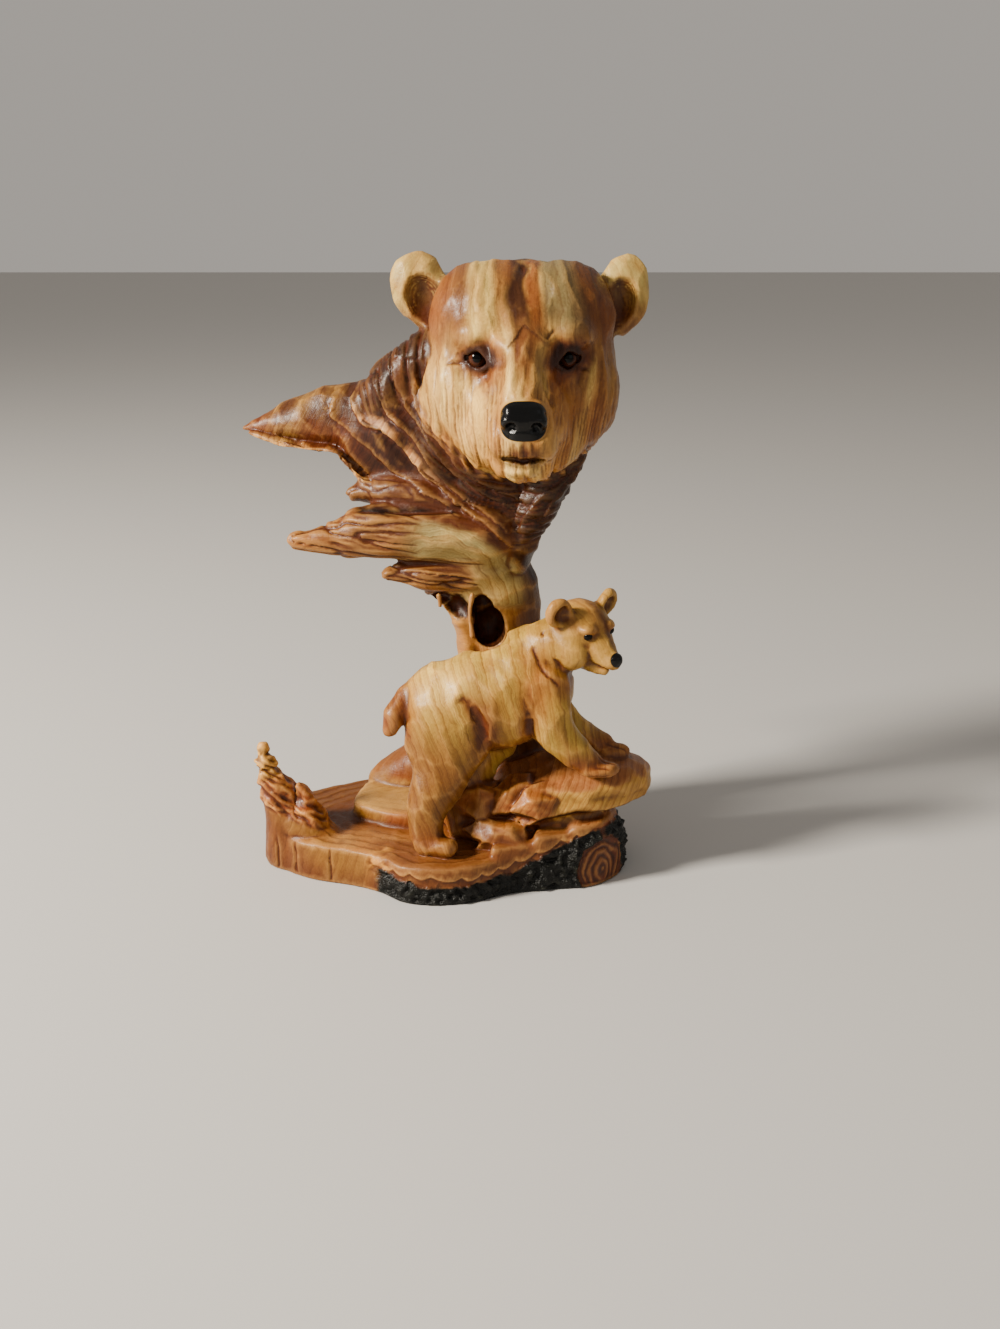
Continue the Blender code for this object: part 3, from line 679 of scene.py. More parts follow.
FOLDS = [
    ([(-44.8, 11, 178), (-46.5, 7.8, 170.4), (-39.1, 4.7, 164.6), (-31.8, 3.1, 159.1), (-25.3, 2.3, 152.6),
      (-19.2, 2, 147.5), (-9.7, -6.3, 142.8), (2, -8, 136)], 0.9),
    ([(-38, 9, 181), (-38.5, 7, 175), (-34.6, 4.8, 169), (-28.1, 0.4, 166.4), (-19.5, -1.2, 159.4),
      (-6.9, -2.9, 146.6), (1.1, -7.7, 139.8), (10.2, -10.5, 133), (17.4, -8.8, 126.4), (23, -7, 121)], 1.8),
    ([(-28.1, 6, 184), (-26.9, 2.2, 177.2), (-24.7, 0.4, 171.7), (-16.4, -2.9, 163.6), (-6.8, -4.6, 151.2),
      (-0.7, -6.3, 144.6), (8.4, -8.7, 137.8), (20, -8, 128.5)], 1.5),
    ([(-21.5, 8, 191), (-21.4, 3.2, 184.2), (-20.3, 1.3, 179.8), (-12, -4.6, 166), (-5.5, -7.1, 157.1),
      (4.8, -8, 147.5), (13.8, -7.9, 142), (25, -8.7, 135.5)], 1.6),
    ([(-17.4, 6, 189), (-15.2, -1.3, 176.9), (-10.8, -5.4, 168.6), (-5.1, -8.7, 161.3), (1.3, -8.9, 154.1),
      (10.2, -8.8, 148), (19.2, -7, 142.6), (29, -10, 138.5)], 1.3),
    ([(51.2, -8, 161), (46, -9.5, 153.2), (39.9, -10.4, 147.9), (34, -10.4, 141), (29, -9.8, 133)], 0.7),
    ([(44, -8, 154), (37, -10.5, 148.5), (30, -11, 143.5), (24, -10.5, 137), (20, -9, 129)], 0.8),
]
crest, fold_shade = np.zeros(count), np.zeros(count)
for n, (line, height) in enumerate(FOLDS):
    index, far, share = line_on_skin(line, 9.0)
    here = skin[index]
    far = far + 1.3 * noise(here, (11, 11, 11), 20 + n) + 0.35 * noise(here, (2.4, 2.4, 2.4), 40 + n)
    fade = step(0, 0.15, share) * step(1, 0.82, share) * step(9, 6, np.abs(far))
    fade = fade * (0.7 + 0.6 * noise(here, (8, 8, 8), 30 + n))
    lip = np.where(far > 0, np.exp(-far / 3.6), step(-0.8, 0, far))
    under = np.where(far > 0, 0, step(0, -0.8, far) * np.exp(far / 3.0))
    rise[index] += 1.25 * fade * (1 - 0.8 * zone["head"][index]) * height * (lip - 0.7 * under)
    crest[index] = np.maximum(crest[index], fade * bell((far - 0.9) / 1.3) * (n > 0))
    fold_shade[index] = np.maximum(fold_shade[index], fade * under)
on_mane = zone["neck"] * step(118, 128, Z)
sweep = np.hypot(X - 24, Z - 192)
streak = np.stack([sweep, Y * 0.4, np.arctan2(Z - 192, X - 24) * 40], -1)
comb = noise(streak, (2.2, 6, 24), 7)
fine_comb = bell(noise(streak, (1.3, 4, 17), 8) / 0.16)
groove = bell(comb / 0.15)
rise -= on_mane * (0.75 * groove + 0.3 * fine_comb - 0.9 * gouged(streak, (5, 6, 16), 93))
border = np.clip(9 * averaged(zone["head"] * zone["neck"], 10), 0, 1) * step(198, 188, Z) * step(16, 4, Y)
tuft = noise(np.stack([X + 0.5 * Z, Y, Z - 0.5 * X], -1), (2.2, 5, 9), 94)
rise += border * (1.7 * tuft + 0.3)

# The broken wood: fibres torn along the splinters, and a pale ledge under the big shoulder.

LEDGE_X = [-80, -75, -68, -58, -49, -41, -36, -31, -27]
LEDGE_Z = [163, 163, 161.5, 160.5, 158.5, 157, 153, 147, 140]
ledge_z = np.interp(X, LEDGE_X, LEDGE_Z) + 0.7 * noise(skin, (5, 5, 3), 9)
on_ledge = (zone["wing"] + zone["splinters"] * step(-25, -30, X)) * step(0, 0.8, ledge_z - Z)
on_ledge = on_ledge * step(-24, -30, X) * step(145, 149, Z)
left_ends = step(-10, -24, X - 0.25 * (Z - 128))
torn = zone["splinters"] * np.maximum(left_ends, step(121, 117, Z) * step(12, 4, X))
torn = torn * (1 - 0.7 * step(137.8, 139.2, Z) * step(-41, -36, X)) * step(103, 105, Z)
torn = np.clip(torn + on_ledge, 0, 1)
on_front_wood = np.clip(zone["splinters"] + zone["neck"], 0, 1) * step(8, 2, Y)
fibre_at = np.stack([X - 0.15 * Z, Y, Z + 0.12 * X], -1)
fibre = bell(noise(fibre_at, (25, 3.4, 2.6), 10) / 0.14)
fine_fibre = noise(fibre_at, (16, 1.6, 1.1), 11)
rise -= torn * (1.0 * fibre - 0.3 * fine_fibre - 0.3)
rise -= on_ledge * 1.2
rise += torn * 0.9 * noise(fibre_at, (10, 5, 4), 12)
crevice = bell((Z - 138.4 - 0.03 * X) / 1.2) * step(-39, -34, X) * step(8, -4, X) * on_front_wood
rise -= 1.1 * crevice
smooth_face = np.clip(zone["neck"] + zone["splinters"] - torn, 0, 1) * step(150, 138, Z)
rise += smooth_face * (0.2 * noise(skin, (9, 7, 9), 13) + 1.4 * gouged(fibre_at, (13, 9, 7), 95))
turned = np.stack([X * 0.75 + Z * 0.66, Y, Z * 0.75 - X * 0.66], -1)
wing_relief = 0.2 * noise(turned, (6, 6, 14), 14) + 1.5 * gouged(turned, (8, 8, 17), 96)
rise += zone["wing"] * (1 - on_ledge) * wing_relief

# The cub's coat: shallow gouge marks, a ruff over the neck and parted toes.

on_cub_face = zone["cub_face"]
on_cub = zone["cub"] + on_cub_face
facet = noise(np.stack([X + 0.4 * Z, Y, Z], -1), (5.5, 5, 9), 15)
coat_at = np.stack([X + 0.35 * Z, Y, Z - 0.2 * X], -1)
coat = 1.7 * gouged(coat_at, (7.5, 8, 11), 15) + 0.1 * facet + 0.05 * noise(skin, (1.4, 1.4, 3), 16)
rise += zone["cub"] * coat
rise += on_cub_face * 0.5 * gouged(skin, (3.4, 3.4, 4.4), 97)
CUB_CREASES = [
    ([(31, -25, 98), (32.1, -25.9, 94.7), (34.2, -28.4, 89.8), (37.8, -30, 85.4), (41.4, -30.1, 82.5),
      (45, -28, 78)],
     0.8, 0.9),
    ([(27, -27, 93), (29, -29.5, 88), (32.5, -32, 83), (37, -33, 79)], 0.7, 0.5),
    ([(25.7, -33.5, 68), (26.5, -32, 61), (29, -30, 54)], 1.6, 0.7),
    ([(0.5, -35, 77), (4.4, -36, 72.5), (7.8, -36.4, 67), (9.8, -36, 60), (9.0, -35, 52)], 2.3, 1.3),
    ([(23, -31, 80), (24.5, -33, 74), (25.7, -33.5, 68)], 0.9, 0.4),
]
cub_crease = np.zeros(count)
for line, width, depth in CUB_CREASES:
    index, far, share = line_on_skin(line, 6.0)
    far = far + 0.5 * noise(skin[index], (2.2, 2.2, 2.2), 50)
    cut = bell(far / width) * step(0, 0.12, share) * step(1, 0.85, share) * on_cub[index]
    cub_crease[index] = np.maximum(cub_crease[index], cut)
    rise[index] -= cut * depth
TOES = [(54, -27.5, 46.5), (60, -7, 45.5), (3, -38.5, 18.5), (15, -23, 18.5)]
for x, y, z in TOES:
    near = np.exp(-(((X - x) / 4) ** 2 + ((Y - y) / 6) ** 2 + ((Z - z) / 4) ** 2))
    rise -= on_cub * near * 0.7 * np.clip(np.cos(2 * math.pi * Y / 3.2), 0, 1) ** 3

# The ground: growth steps on its top, a scalloped edge, granular bark, a cut knot and the cracked left wall.

ring = between(BASE_OUTLINE, closed=True)
inset = np.full(count, 99.0)
on_ground = zone["ground"] + zone["rocks"]
low_down = np.flatnonzero((on_ground > 0.02) & (Z < 60))
for a, b in zip(ring, np.roll(ring, -1, axis=0)):
    run = b - a
    t = np.clip((skin[low_down, :2] - a) @ run / (run @ run), 0, 1)
    off = skin[low_down, :2] - (a + t[:, None] * run)
    inset[low_down] = np.minimum(inset[low_down], np.hypot(*off.T))
on_log = on_ground * step(23, 25.5, Z) * step(12, 18, X)
on_spire = zone["rocks"] * step(-40, -46, X) * step(16, 19, Z + 0.35 * (X + 50))
on_rocks = zone["rocks"] * step(-30, -20, X)
flat_top = on_ground * step(0.5, 0.8, normal[:, 2]) * (1 - on_log) * (1 - on_spire) * (1 - on_rocks)
growth = inset / 4.4 + 0.45 * noise(skin, (16, 16, 16), 17) + 0.15 * noise(skin, (5, 5, 5), 18)
near_rim = step(26, 10, inset)
rise += flat_top * step(1, 3.5, inset) * (0.08 + 0.25 * near_rim) * (growth % 1.0 - 0.5)
rise += flat_top * 0.7 * gouged(skin, (9, 9, 9), 98)
wall = on_ground * step(0.75, 0.35, np.abs(normal[:, 2])) * (1 - on_log)
EDGE_X = [-42, -30, -17, -6, 5, 16, 27, 38, 50]
edge_z = np.interp(X, EDGE_X, [11, 12.2, 12.5, 11.3, 10.8, 12, 15.5, 20, 24])
scallop = edge_z - 1.6 * np.abs(np.sin(X * math.pi / 7.5 + 1.2 * noise(skin, (12, 12, 12), 19)))
front_wall = on_ground * step(-24, -28, Y + 0.1 * X) * step(-36, -28, X) * (1 - on_log)
rise -= 0.5 * front_wall * np.clip((scallop - Z) / 0.6, 0, 1)
edge_light = front_wall * bell((Z - scallop) / 0.5)
BARK_X = [-32, -29, -22, -10, 0, 9, 15, 21, 29, 37, 45, 66]
bark_z = np.interp(X, BARK_X, [13, 11, 9.2, 7.4, 7, 7.2, 8.2, 9.5, 13.5, 17.5, 21.5, 23.5])
bark_z = bark_z + 1.3 * noise(skin, (3.4, 3.4, 3), 60)
knot_far = np.hypot((X - 55) * 0.93 + (Y + 29.5) * 0.36, (Z - 6.0) * 0.86)
knot_far = knot_far + 2.2 * noise(skin, (8, 8, 7), 61) + 0.35 * noise(skin, (2, 2, 2), 59)
on_knot = on_ground * step(10.4, 9.8, knot_far) * step(-14, -20, Y) * step(42, 45, X + 0.6 * Z)
around_front = np.maximum(step(-24, -27, Y + 0.05 * X) * step(-32, -28.5, X), step(52, 56, X))
below_bark_line = np.clip((bark_z - Z) / 0.8, 0, 1)
on_bark = on_ground * (1 - on_log) * around_front * below_bark_line * (1 - on_knot) * step(8, 2, Y)
grit = np.maximum.reduce([noise(skin, (2.1, 2.1, 1.7), s) for s in (62, 63)])
lumps = 0.6 - gouged(skin + 0.8 * noise(skin, (2, 2, 2), 55)[:, None], (2.7, 2.7, 2.0), 99, level=0)
rise += on_bark * (1.7 * lumps + 1.3 * grit + 0.6 * noise(skin, (4.5, 4.5, 3), 64) - 0.5)
knot_ring = np.cos(2 * math.pi * (knot_far / 2.5 + 0.3 * noise(skin, (5, 5, 5), 65)))
rise -= on_knot * (0.45 - 0.25 * knot_ring)
left_wall = wall * step(-26, -32, X) * (1 - on_spire)
for x, width in ((-62, 0.5), (-69.5, 0.45), (-48, 0.35)):
    crack = bell((X - x + 0.5 * noise(skin, (5, 5, 3), 66)) / width) * step(16, 9, Z) * step(0, -5, Y)
    rise -= left_wall * crack * 0.7
flake_at = np.stack([X, Y, Z + 0.55 * X], -1)
flake = 1 - 2.4 * np.abs(noise(flake_at, (6, 5.5, 2.4), 67))
chips = noise(flake_at, (2.6, 2.6, 1.2), 68)
chipped = gouged(flake_at, (6, 6, 3.4), 58)
rise += on_spire * (0.7 * flake + 1.5 * chipped + 0.4 * chips) * step(47, 42, Z) + on_spire * 0.2 * chips
rise += on_log * (0.2 * noise(skin, (6, 6, 6), 69) + 1.4 * gouged(skin, (9, 9, 6), 57))
rise += on_rocks * (1 - on_log) * 1.6 * gouged(skin, (7, 7, 7), 56)
rise += on_ground * (1 - on_bark) * 0.13 * noise(skin, (2.6, 2.6, 2.6), 70)
on_patch = bell(((X + 28) / 6) ** 2 + ((Y + 34) / 8) ** 2 + ((Z - 11) / 5) ** 2) * on_ground
rise += on_patch * 0.7 * noise(skin, (2.2, 2.2, 1.4), 71)

rise *= step(0.4, 1.6, Z)
skin = skin + normal * rise[:, None]
skin[:, 2] = np.maximum(skin[:, 2], 0)
normal = outward(skin)

# The paint: airbrushed browns over golden wood, darker in the cuts and paler on the edges, partly as a wash
# and a dry brush leave it and partly as painted shade and painted highlight. Each coat is laid over the last.

OCHRE, OLIVE, TAN = (0.60, 0.34, 0.115), (0.34, 0.225, 0.09), (0.42, 0.20, 0.065)
BROWN, UNDERSIDE_SHADE = (0.22, 0.068, 0.020), (0.045, 0.013, 0.005)
PALE, ORANGE = (0.74, 0.43, 0.24), (0.44, 0.16, 0.042)
tone = np.tile(np.array(OCHRE), (count, 1))


def lay(mask, colour):
    """Mixes a colour into the paint by a mask from 0 to 1."""
    tone[:] = tone + np.clip(mask, 0, 1)[:, None] * (np.array(colour) - tone)


def coats(form, *layers):
    """Lays several paints over one form, in this order. Each is a mask and a colour."""
    for mask, colour in layers:
        lay(form * mask, colour)


def spot(x, y, z, wide, deep, high):
    """A soft round mask: a bell curve about a point, of these half widths along the axes."""
    return np.exp(-(((X - x) / wide) ** 2 + ((Y - y) / deep) ** 2 + ((Z - z) / high) ** 2))


cloud = noise(skin, (11, 11, 15), 80) * 0.6 + noise(skin, (4, 4, 6), 81) * 0.4
coarse = averaged(skin, 6)
bulge = np.einsum("ij,ij->i", skin - coarse, normal) / CELL
fine_bulge = np.einsum("ij,ij->i", skin - averaged(skin, 2), normal) / CELL

on_head = zone["head"]
band = meridian + 2.2 * drift
lay(on_head, OCHRE)
banded = np.stack([band, Y * 0.3, Z * 0.25], -1)
coats(
    on_head,
    (patchy(-0.3, 0.4, banded, (5.5, 8, 9), 82) * 0.9, (0.94, 0.73, 0.33)),
    (patchy(0.1, 0.5, banded, (3.6, 8, 9), 83) * 0.7, (0.40, 0.20, 0.065)),
    (step(10, 20, meridian) * patchy(-0.1, 0.4, banded, (3.4, 8, 12), 78) * 0.8, (0.20, 0.065, 0.020)),
)
forehead = on_head * step(196, 208, Z + 2.5 * cloud)
wave = band + 1.6 * noise(skin, (6, 6, 16), 79)
coats(
    forehead,
    (step(-12, -7, wave) * step(-3, -6, wave) * 0.8, (0.30, 0.125, 0.040)),
    (step(-7, -3.5, wave) * step(2.4, 0.2, wave), (0.090, 0.036, 0.015)),
    (step(0.8, 2.6, wave) * step(8.5, 5.5, wave) * 0.95, (0.29, 0.112, 0.034)),
    (step(6, 9, wave) * step(30, 20, wave) * 0.95, (0.21, 0.158, 0.085)),
    (step(16, 20, wave) * patchy(-0.1, 0.3, banded, (3, 8, 12), 77) * 0.7, (0.17, 0.075, 0.028)),
    (step(-17, -14, wave) * step(-9.5, -12, wave) * 0.6, (0.62, 0.45, 0.18)),
    (step(-17, -23, wave) * 0.85, (0.16, 0.060, 0.021)),
)
coats(
    on_head,
    (step(17, 24, np.abs(meridian)) * step(185, 200, Z) * 0.65, (0.22, 0.088, 0.030)),
    (step(4, 14, Y) * 0.8, BROWN),
    (step(-24, -31, meridian) * 0.6, (0.32, 0.12, 0.035)),
    # The right side and right lower cheek are darker: partly the casting's brown, partly painted shade on the
    # side away from the lamp.
    (step(20, 31, meridian) * 0.75, (0.20, 0.070, 0.022)),
    (step(13, 22, meridian) * step(184, 176, Z) * 0.45, (0.26, 0.10, 0.03)),
)
coats(
    on_face,
    (spot(23.6, -30, 196, 4.8, 14, 9.5) * 1.5, (0.20, 0.078, 0.026)),
    # A painted highlight: the left cheek, which faces the lamp, made pale.
    (spot(8, -22, 178, 12, 16, 16) * 0.6, (0.98, 0.78, 0.36)),
    # Painted shade on the right plane of the bridge, away from the lamp.
    (spot(26.5, -36, 186, 3.0, 12, 8) * 0.8, (0.30, 0.15, 0.05)),
)
# More painted shade on the right plane of the bridge, in olive.
lay(spot(28, -36, 189, 3.5, 9, 8) * 0.5, OLIVE)
lids = np.zeros(count)
for s in (-1, 1):
    from_eye = np.hypot((X - FACE_X - s * 15.0) / 1.25, Z - 193.6) + 0.9 * noise(skin, (3, 3, 3), 89)
    lay(on_face * step(9.5, 4.5, from_eye) * 0.85, (0.22, 0.070, 0.020))
    lay(on_face * spot(FACE_X + s * 12.0, -22, 187.0, 4.0, 30, 6.0) * 0.8, (0.28, 0.09, 0.025))
    lids = np.maximum(lids, on_face * step(6.0, 4.0, from_eye))
    lay(spot(FACE_X + s * 19, -15, 174, 6, 14, 10) * 0.35, ORANGE)
    lay(spot(FACE_X + s * 31, 2, 205, 5, 8, 5) * 0.8, BROWN)
lay(zone["ears"], (0.56, 0.42, 0.18))
lay(zone["ears"] * patchy(-0.1, 0.5, skin, (5, 5, 8), 72) * 0.6, (0.40, 0.23, 0.08))
lay((zone["ears"] + in_cups) * step(214, 202, Z) * 0.8, (0.20, 0.072, 0.022))
cup_floor = in_cups * step(2.5, 6.0, Y) * (0.35 + 0.65 * step(41, 33, np.abs(across)))
lay(cup_floor * (zone["ears"] + on_head), (0.13, 0.040, 0.013))
lay(in_cups * step(0.2, 0.8, 0.5 + noise(skin, (2.2, 5, 8), 88)) * 0.4 * (zone["ears"] + on_head), TAN)
lay(spot(FACE_X, -44, 163.8, 7.0, 9, 3.4) * 1.3, (0.14, 0.044, 0.017))
lay(spot(FACE_X, -45, 161.2, 6.0, 8, 1.1) * 1.6, (0.03, 0.008, 0.004))
lay(spot(FACE_X, -45, 167.5, 1.0, 8, 4.5) * 0.8, (0.12, 0.034, 0.011))
lay(spot(FACE_X, -46, 175, 10.5, 8, 8.5) * 0.7, (0.26, 0.09, 0.028))
# Painted shade under the chin.
lay(spot(FACE_X, -28, 153, 16, 12, 4) * 0.5, (0.40, 0.17, 0.05))
lay(crease * 0.75, (0.10, 0.03, 0.01))

lay(on_mane, (0.055, 0.017, 0.008))
coats(
    on_mane,
    (step(0.1, 0.7, cloud + 0.1) * 0.9, (0.120, 0.040, 0.015)),
    (step(0.25, -0.25, cloud + 0.3) * 0.7, (0.030, 0.008, 0.004)),
    (step(0.25, 0.5, comb) * step(150, 164, Z + 0.4 * X) * 0.5, (0.25, 0.100, 0.034)),
    (np.maximum(groove, 0.7 * fine_comb) * 0.75, (0.022, 0.006, 0.003)),
)
lay(border * step(0.1, 0.4, tuft) * 0.8, (0.52, 0.26, 0.085))
lay(border * step(-0.1, -0.35, tuft) * 0.9, (0.06, 0.017, 0.006))
on_wing = zone["wing"]
lay(on_wing, (0.27, 0.155, 0.056))
wing_band = (X * 0.9 - Z * 0.35 + 2.6 * cloud) / 10
coats(
    on_wing,
    (step(0.3, 0.8, 0.5 + 0.5 * np.sin(wing_band * 2 * math.pi)) * 0.8, (0.11, 0.036, 0.013)),
    (step(-46, -33, X) * 0.95, (0.07, 0.021, 0.009)),
    (step(-64, -75, X) * 0.85, (0.19, 0.052, 0.014)),
    (step(-64, -54, X) * step(-30, -44, X) * step(173, 164, Z) * 0.85, (0.17, 0.045, 0.013)),
)
# Painted highlight on the crests of the mane's folds.
lay(np.clip(crest * 1.1, 0, 1) * patchy(-0.2, 0.5, skin, (7, 7, 7), 84) * 0.7, (0.24, 0.096, 0.032))
STRIPS = [
    ([(-37, 7.5, 174), (-34.6, 4.8, 169), (-28.1, 0.4, 166.4), (-22, -1.2, 161.4)], 3.0),
    ([(-20, -1.2, 159.6), (-13.4, -2.1, 153), (-6.9, -2.9, 146.6), (-4, -4, 143.6)], 2.6),
    ([(-26, 3, 176), (-24.7, 0.4, 171.7), (-20, -1.4, 167)], 1.6),
    ([(-19, 2, 183), (-17, -1, 176), (-13, -4, 168)], 1.8),
]
for line, width in STRIPS:
    index, far, share = line_on_skin(line, 6.0)
    far = far + 1.0 * noise(skin[index], (3, 3, 3), 85)
    strip = step(-0.4, 0.4, far) * step(width + 0.6, width - 0.6, far)
    strip = strip * step(0, 0.15, share) * step(1, 0.8, share)
    mask = np.zeros(count)
    mask[index] = strip * patchy(-0.5, -0.1, skin[index], (6, 6, 3), 86)
    lay(mask * 0.9 * (1 - on_head), PALE)
# Painted shade on the under side of each fold, where it is overlapped.
lay(fold_shade * 1.1, (0.030, 0.009, 0.004))
# Painted shade in the mane under the chin.
lay(on_mane * spot(10, -8, 142, 20, 24, 12) * 0.9, (0.040, 0.012, 0.006))

on_splinters = zone["splinters"]
lay(on_splinters, (0.14, 0.046, 0.016))
lay(on_splinters * step(0.0, 0.6, cloud + 0.05) * 0.8, (0.26, 0.110, 0.036))
lay(torn * step(0.15, 0.5, fine_fibre) * 0.55, (0.42, 0.22, 0.08))
coats(
    on_splinters,
    (step(-44, -54, X) * 0.6, (0.42, 0.19, 0.06)),
    (step(137.5, 139.5, Z) * 0.8, (0.11, 0.032, 0.010)),
    (step(105, 102, Z), (0.48, 0.25, 0.08)),
)
lay(on_ledge, (0.60, 0.35, 0.155))
lay(torn * step(0.25, 0.8, fibre) * 0.8, (0.10, 0.027, 0.009))
# Painted shade: the crevice under the upper splinters, near black.
lay(crevice * 1.2, (0.02, 0.006, 0.003))
trunk = zone["neck"] * step(128, 121, Z)
FACE_LINE_X = [-40, -26, -10, 7, 19, 25, 30]
FACE_LINE_Z = [134, 135.5, 136, 131.5, 121, 114.5, 104]
face_line = np.interp(X, FACE_LINE_X, FACE_LINE_Z) + 1.2 * cloud
pale_face = (zone["neck"] + on_splinters) * (1 - torn) * np.clip((face_line - Z) / 3.0, 0, 1)
pale_face = pale_face * step(98, 102, Z)
lay(trunk, (0.40, 0.21, 0.07))
lay(pale_face, (0.38, 0.30, 0.155))
lay(pale_face * patchy(0.0, 0.5, fibre_at, (18, 6, 5), 76) * 0.7, (0.62, 0.47, 0.22))
lay(pale_face * step(-2, -16, X) * patchy(0.0, 0.4, fibre_at, (22, 5, 3.2), 75) * 0.7, (0.22, 0.075, 0.023))
coats(
    trunk,
    # The trunk's right side is darker: partly its own brown, partly painted shade away from the lamp.
    (step(21, 27, X) * 0.8, (0.15, 0.056, 0.020)),
    (step(-1.5, 1.0, Z - face_line) * step(4, 10, X), (0.06, 0.019, 0.008)),
    # Painted shade on the trunk low down, behind the cub.
    (step(66, 40, Z) * 0.8, (0.21, 0.092, 0.032)),
    (step(14, 2, X) * step(96, 88, Z) * 0.8, (0.50, 0.25, 0.085)),
)
# Painted shade in the trunk's hollows, darkest where they go deepest.
deep_cave_shade = in_caves * step(-8.5, -3, Y + 0.1 * (X - 5))
lay(in_caves, (0.15, 0.046, 0.015))
lay(deep_cave_shade, (0.030, 0.008, 0.003))
lay(spot(12, -10, 106, 9, 6, 3) * 0.8, (0.34, 0.12, 0.036))

lay(on_cub, (0.45, 0.290, 0.080))
coats(
    on_cub,
    (step(0.0, 0.6, cloud) * 0.6, (0.58, 0.41, 0.120)),
    # A painted highlight on the rump.
    (spot(-6, -36, 80, 12, 20, 9) * 0.7, (0.92, 0.66, 0.28)),
    (step(64, 44, Z + 0.5 * X) * step(16, 6, X) * 0.85, (0.25, 0.110, 0.034)),
    (patchy(0.1, 0.5, coat_at, (5, 7, 14), 74) * 0.45, (0.36, 0.19, 0.058)),
    (step(30, 21, Z) * 0.6, (0.25, 0.09, 0.028)),
    # Painted shade in the recess between ribs and thigh, and under the belly.
    (spot(11, -32, 64, 6, 12, 13) * 1.1, (0.19, 0.060, 0.017)),
    (spot(20, -26, 53, 12, 12, 4) * 0.8, (0.27, 0.09, 0.026)),
    (spot(30, -30, 80, 7, 10, 14) * 0.8, (0.40, 0.16, 0.045)),
    # Painted shade behind the front leg's elbow.
    (spot(25, -30, 66, 4, 10, 12) * 0.8, (0.30, 0.10, 0.03)),
)
# Painted shade on the chest under the cub's chin.
lay(zone["cub"] * spot(42, -24, 80, 8, 12, 6) * 0.9, (0.24, 0.075, 0.022))
coats(
    on_cub,
    (spot(20, -8, 90, 16, 7, 5) * 0.6, (0.46, 0.21, 0.06)),
    (spot(-16, -24, 70, 5, 8, 9) * 0.5, ORANGE),
    (step(-15.5, -19, X + 0.12 * (Z - 60)) * step(56, 60, Z) * 0.85, (0.22, 0.066, 0.019)),
    (step(56, 49, Z) * step(36, 42, X) * 0.85, (0.25, 0.080, 0.023)),
    (step(1, 7, Y) * 0.4, (0.30, 0.11, 0.03)),
)
_, left, above = ((skin - CUB_FACE) @ CUB_TURN).T
lay(on_cub_face * 0.55, (0.42, 0.245, 0.080))
stripe = bell((left - 2.2 + 0.6 * cloud) / 1.9) * step(1, 5, above) * on_cub_face
lay(stripe * 0.9, (0.13, 0.040, 0.013))
lay(on_cub_face * step(-6.5, -9, left) * step(4, 9, above) * 0.5, (0.30, 0.11, 0.033))
lay(on_cub_face * bell((left + 1.5) / 3.2) * step(4, 9, above) * 0.5, (0.42, 0.19, 0.06))
for s in (-1, 1):
    x, y, z = in_cub_face(3.6, s * 11, 9.4)
    lay(spot(x, y, z, 2.4, 2.4, 3.0) * on_cub_face * 1.1, (0.10, 0.035, 0.014))
    x, y, z = in_cub_face(10.4, s * 5.4, 6.6)
    lay(spot(x, y, z, 3.0, 3.0, 1.8) * on_cub_face * 0.7, (0.30, 0.10, 0.03))
x, y, z = in_cub_face(17, 0, -4.6)
lay(spot(x, y, z, 3.4, 3.4, 1.3) * on_cub_face * 0.8, (0.26, 0.08, 0.025))
# Dark paint in the cub's creases, painted shade most of all in the deep one where the thigh overlaps the
# belly.
lay(cub_crease * 0.85, (0.20, 0.064, 0.018))

lay(on_ground, (0.30, 0.100, 0.028))
coats(
    flat_top,
    (0.3 + 0.4 * near_rim, (0.50, 0.290, 0.110)),
    (step(0.84, 0.98, growth % 1.0) * step(1, 3, inset) * (0.06 + 0.35 * near_rim), (0.12, 0.040, 0.014)),
    (step(0.12, 0.0, growth % 1.0) * step(1, 3, inset) * near_rim * 0.5, (0.56, 0.27, 0.085)),
    (step(-0.1, 0.6, cloud) * 0.4, (0.40, 0.16, 0.046)),
)
coats(
    on_ground,
    # Painted shadow on the base top under the cub and behind the spire.
    (step(-20, -6, Y) * step(34, 24, X) * step(19, 16.5, Z) * 0.7, (0.13, 0.045, 0.016)),
    (step(20.4, 21.2, Z) * step(26, 24, Z) * step(-8, -18, X) * step(-14, -6, Y) * 0.8, (0.50, 0.31, 0.120)),
    (step(22, 30, Z) * step(14, 4, X) * step(-56, -50, X) * 0.9, (0.24, 0.100, 0.034)),
)
lay(on_rocks, (0.37, 0.148, 0.048))
# Paler patches on the rocks, favouring faces that point up: painted light from above.
lay(on_rocks * step(0.1, 0.6, cloud + 0.5 * normal[:, 2]) * 0.75, (0.46, 0.21, 0.062))
lay(left_wall, (0.22, 0.088, 0.027))
lay(left_wall * step(-60, -40, X + 0.8 * Z) * 0.6, (0.38, 0.21, 0.055))
lay(left_wall * step(9, 1, Z) * 0.6, (0.15, 0.050, 0.017))
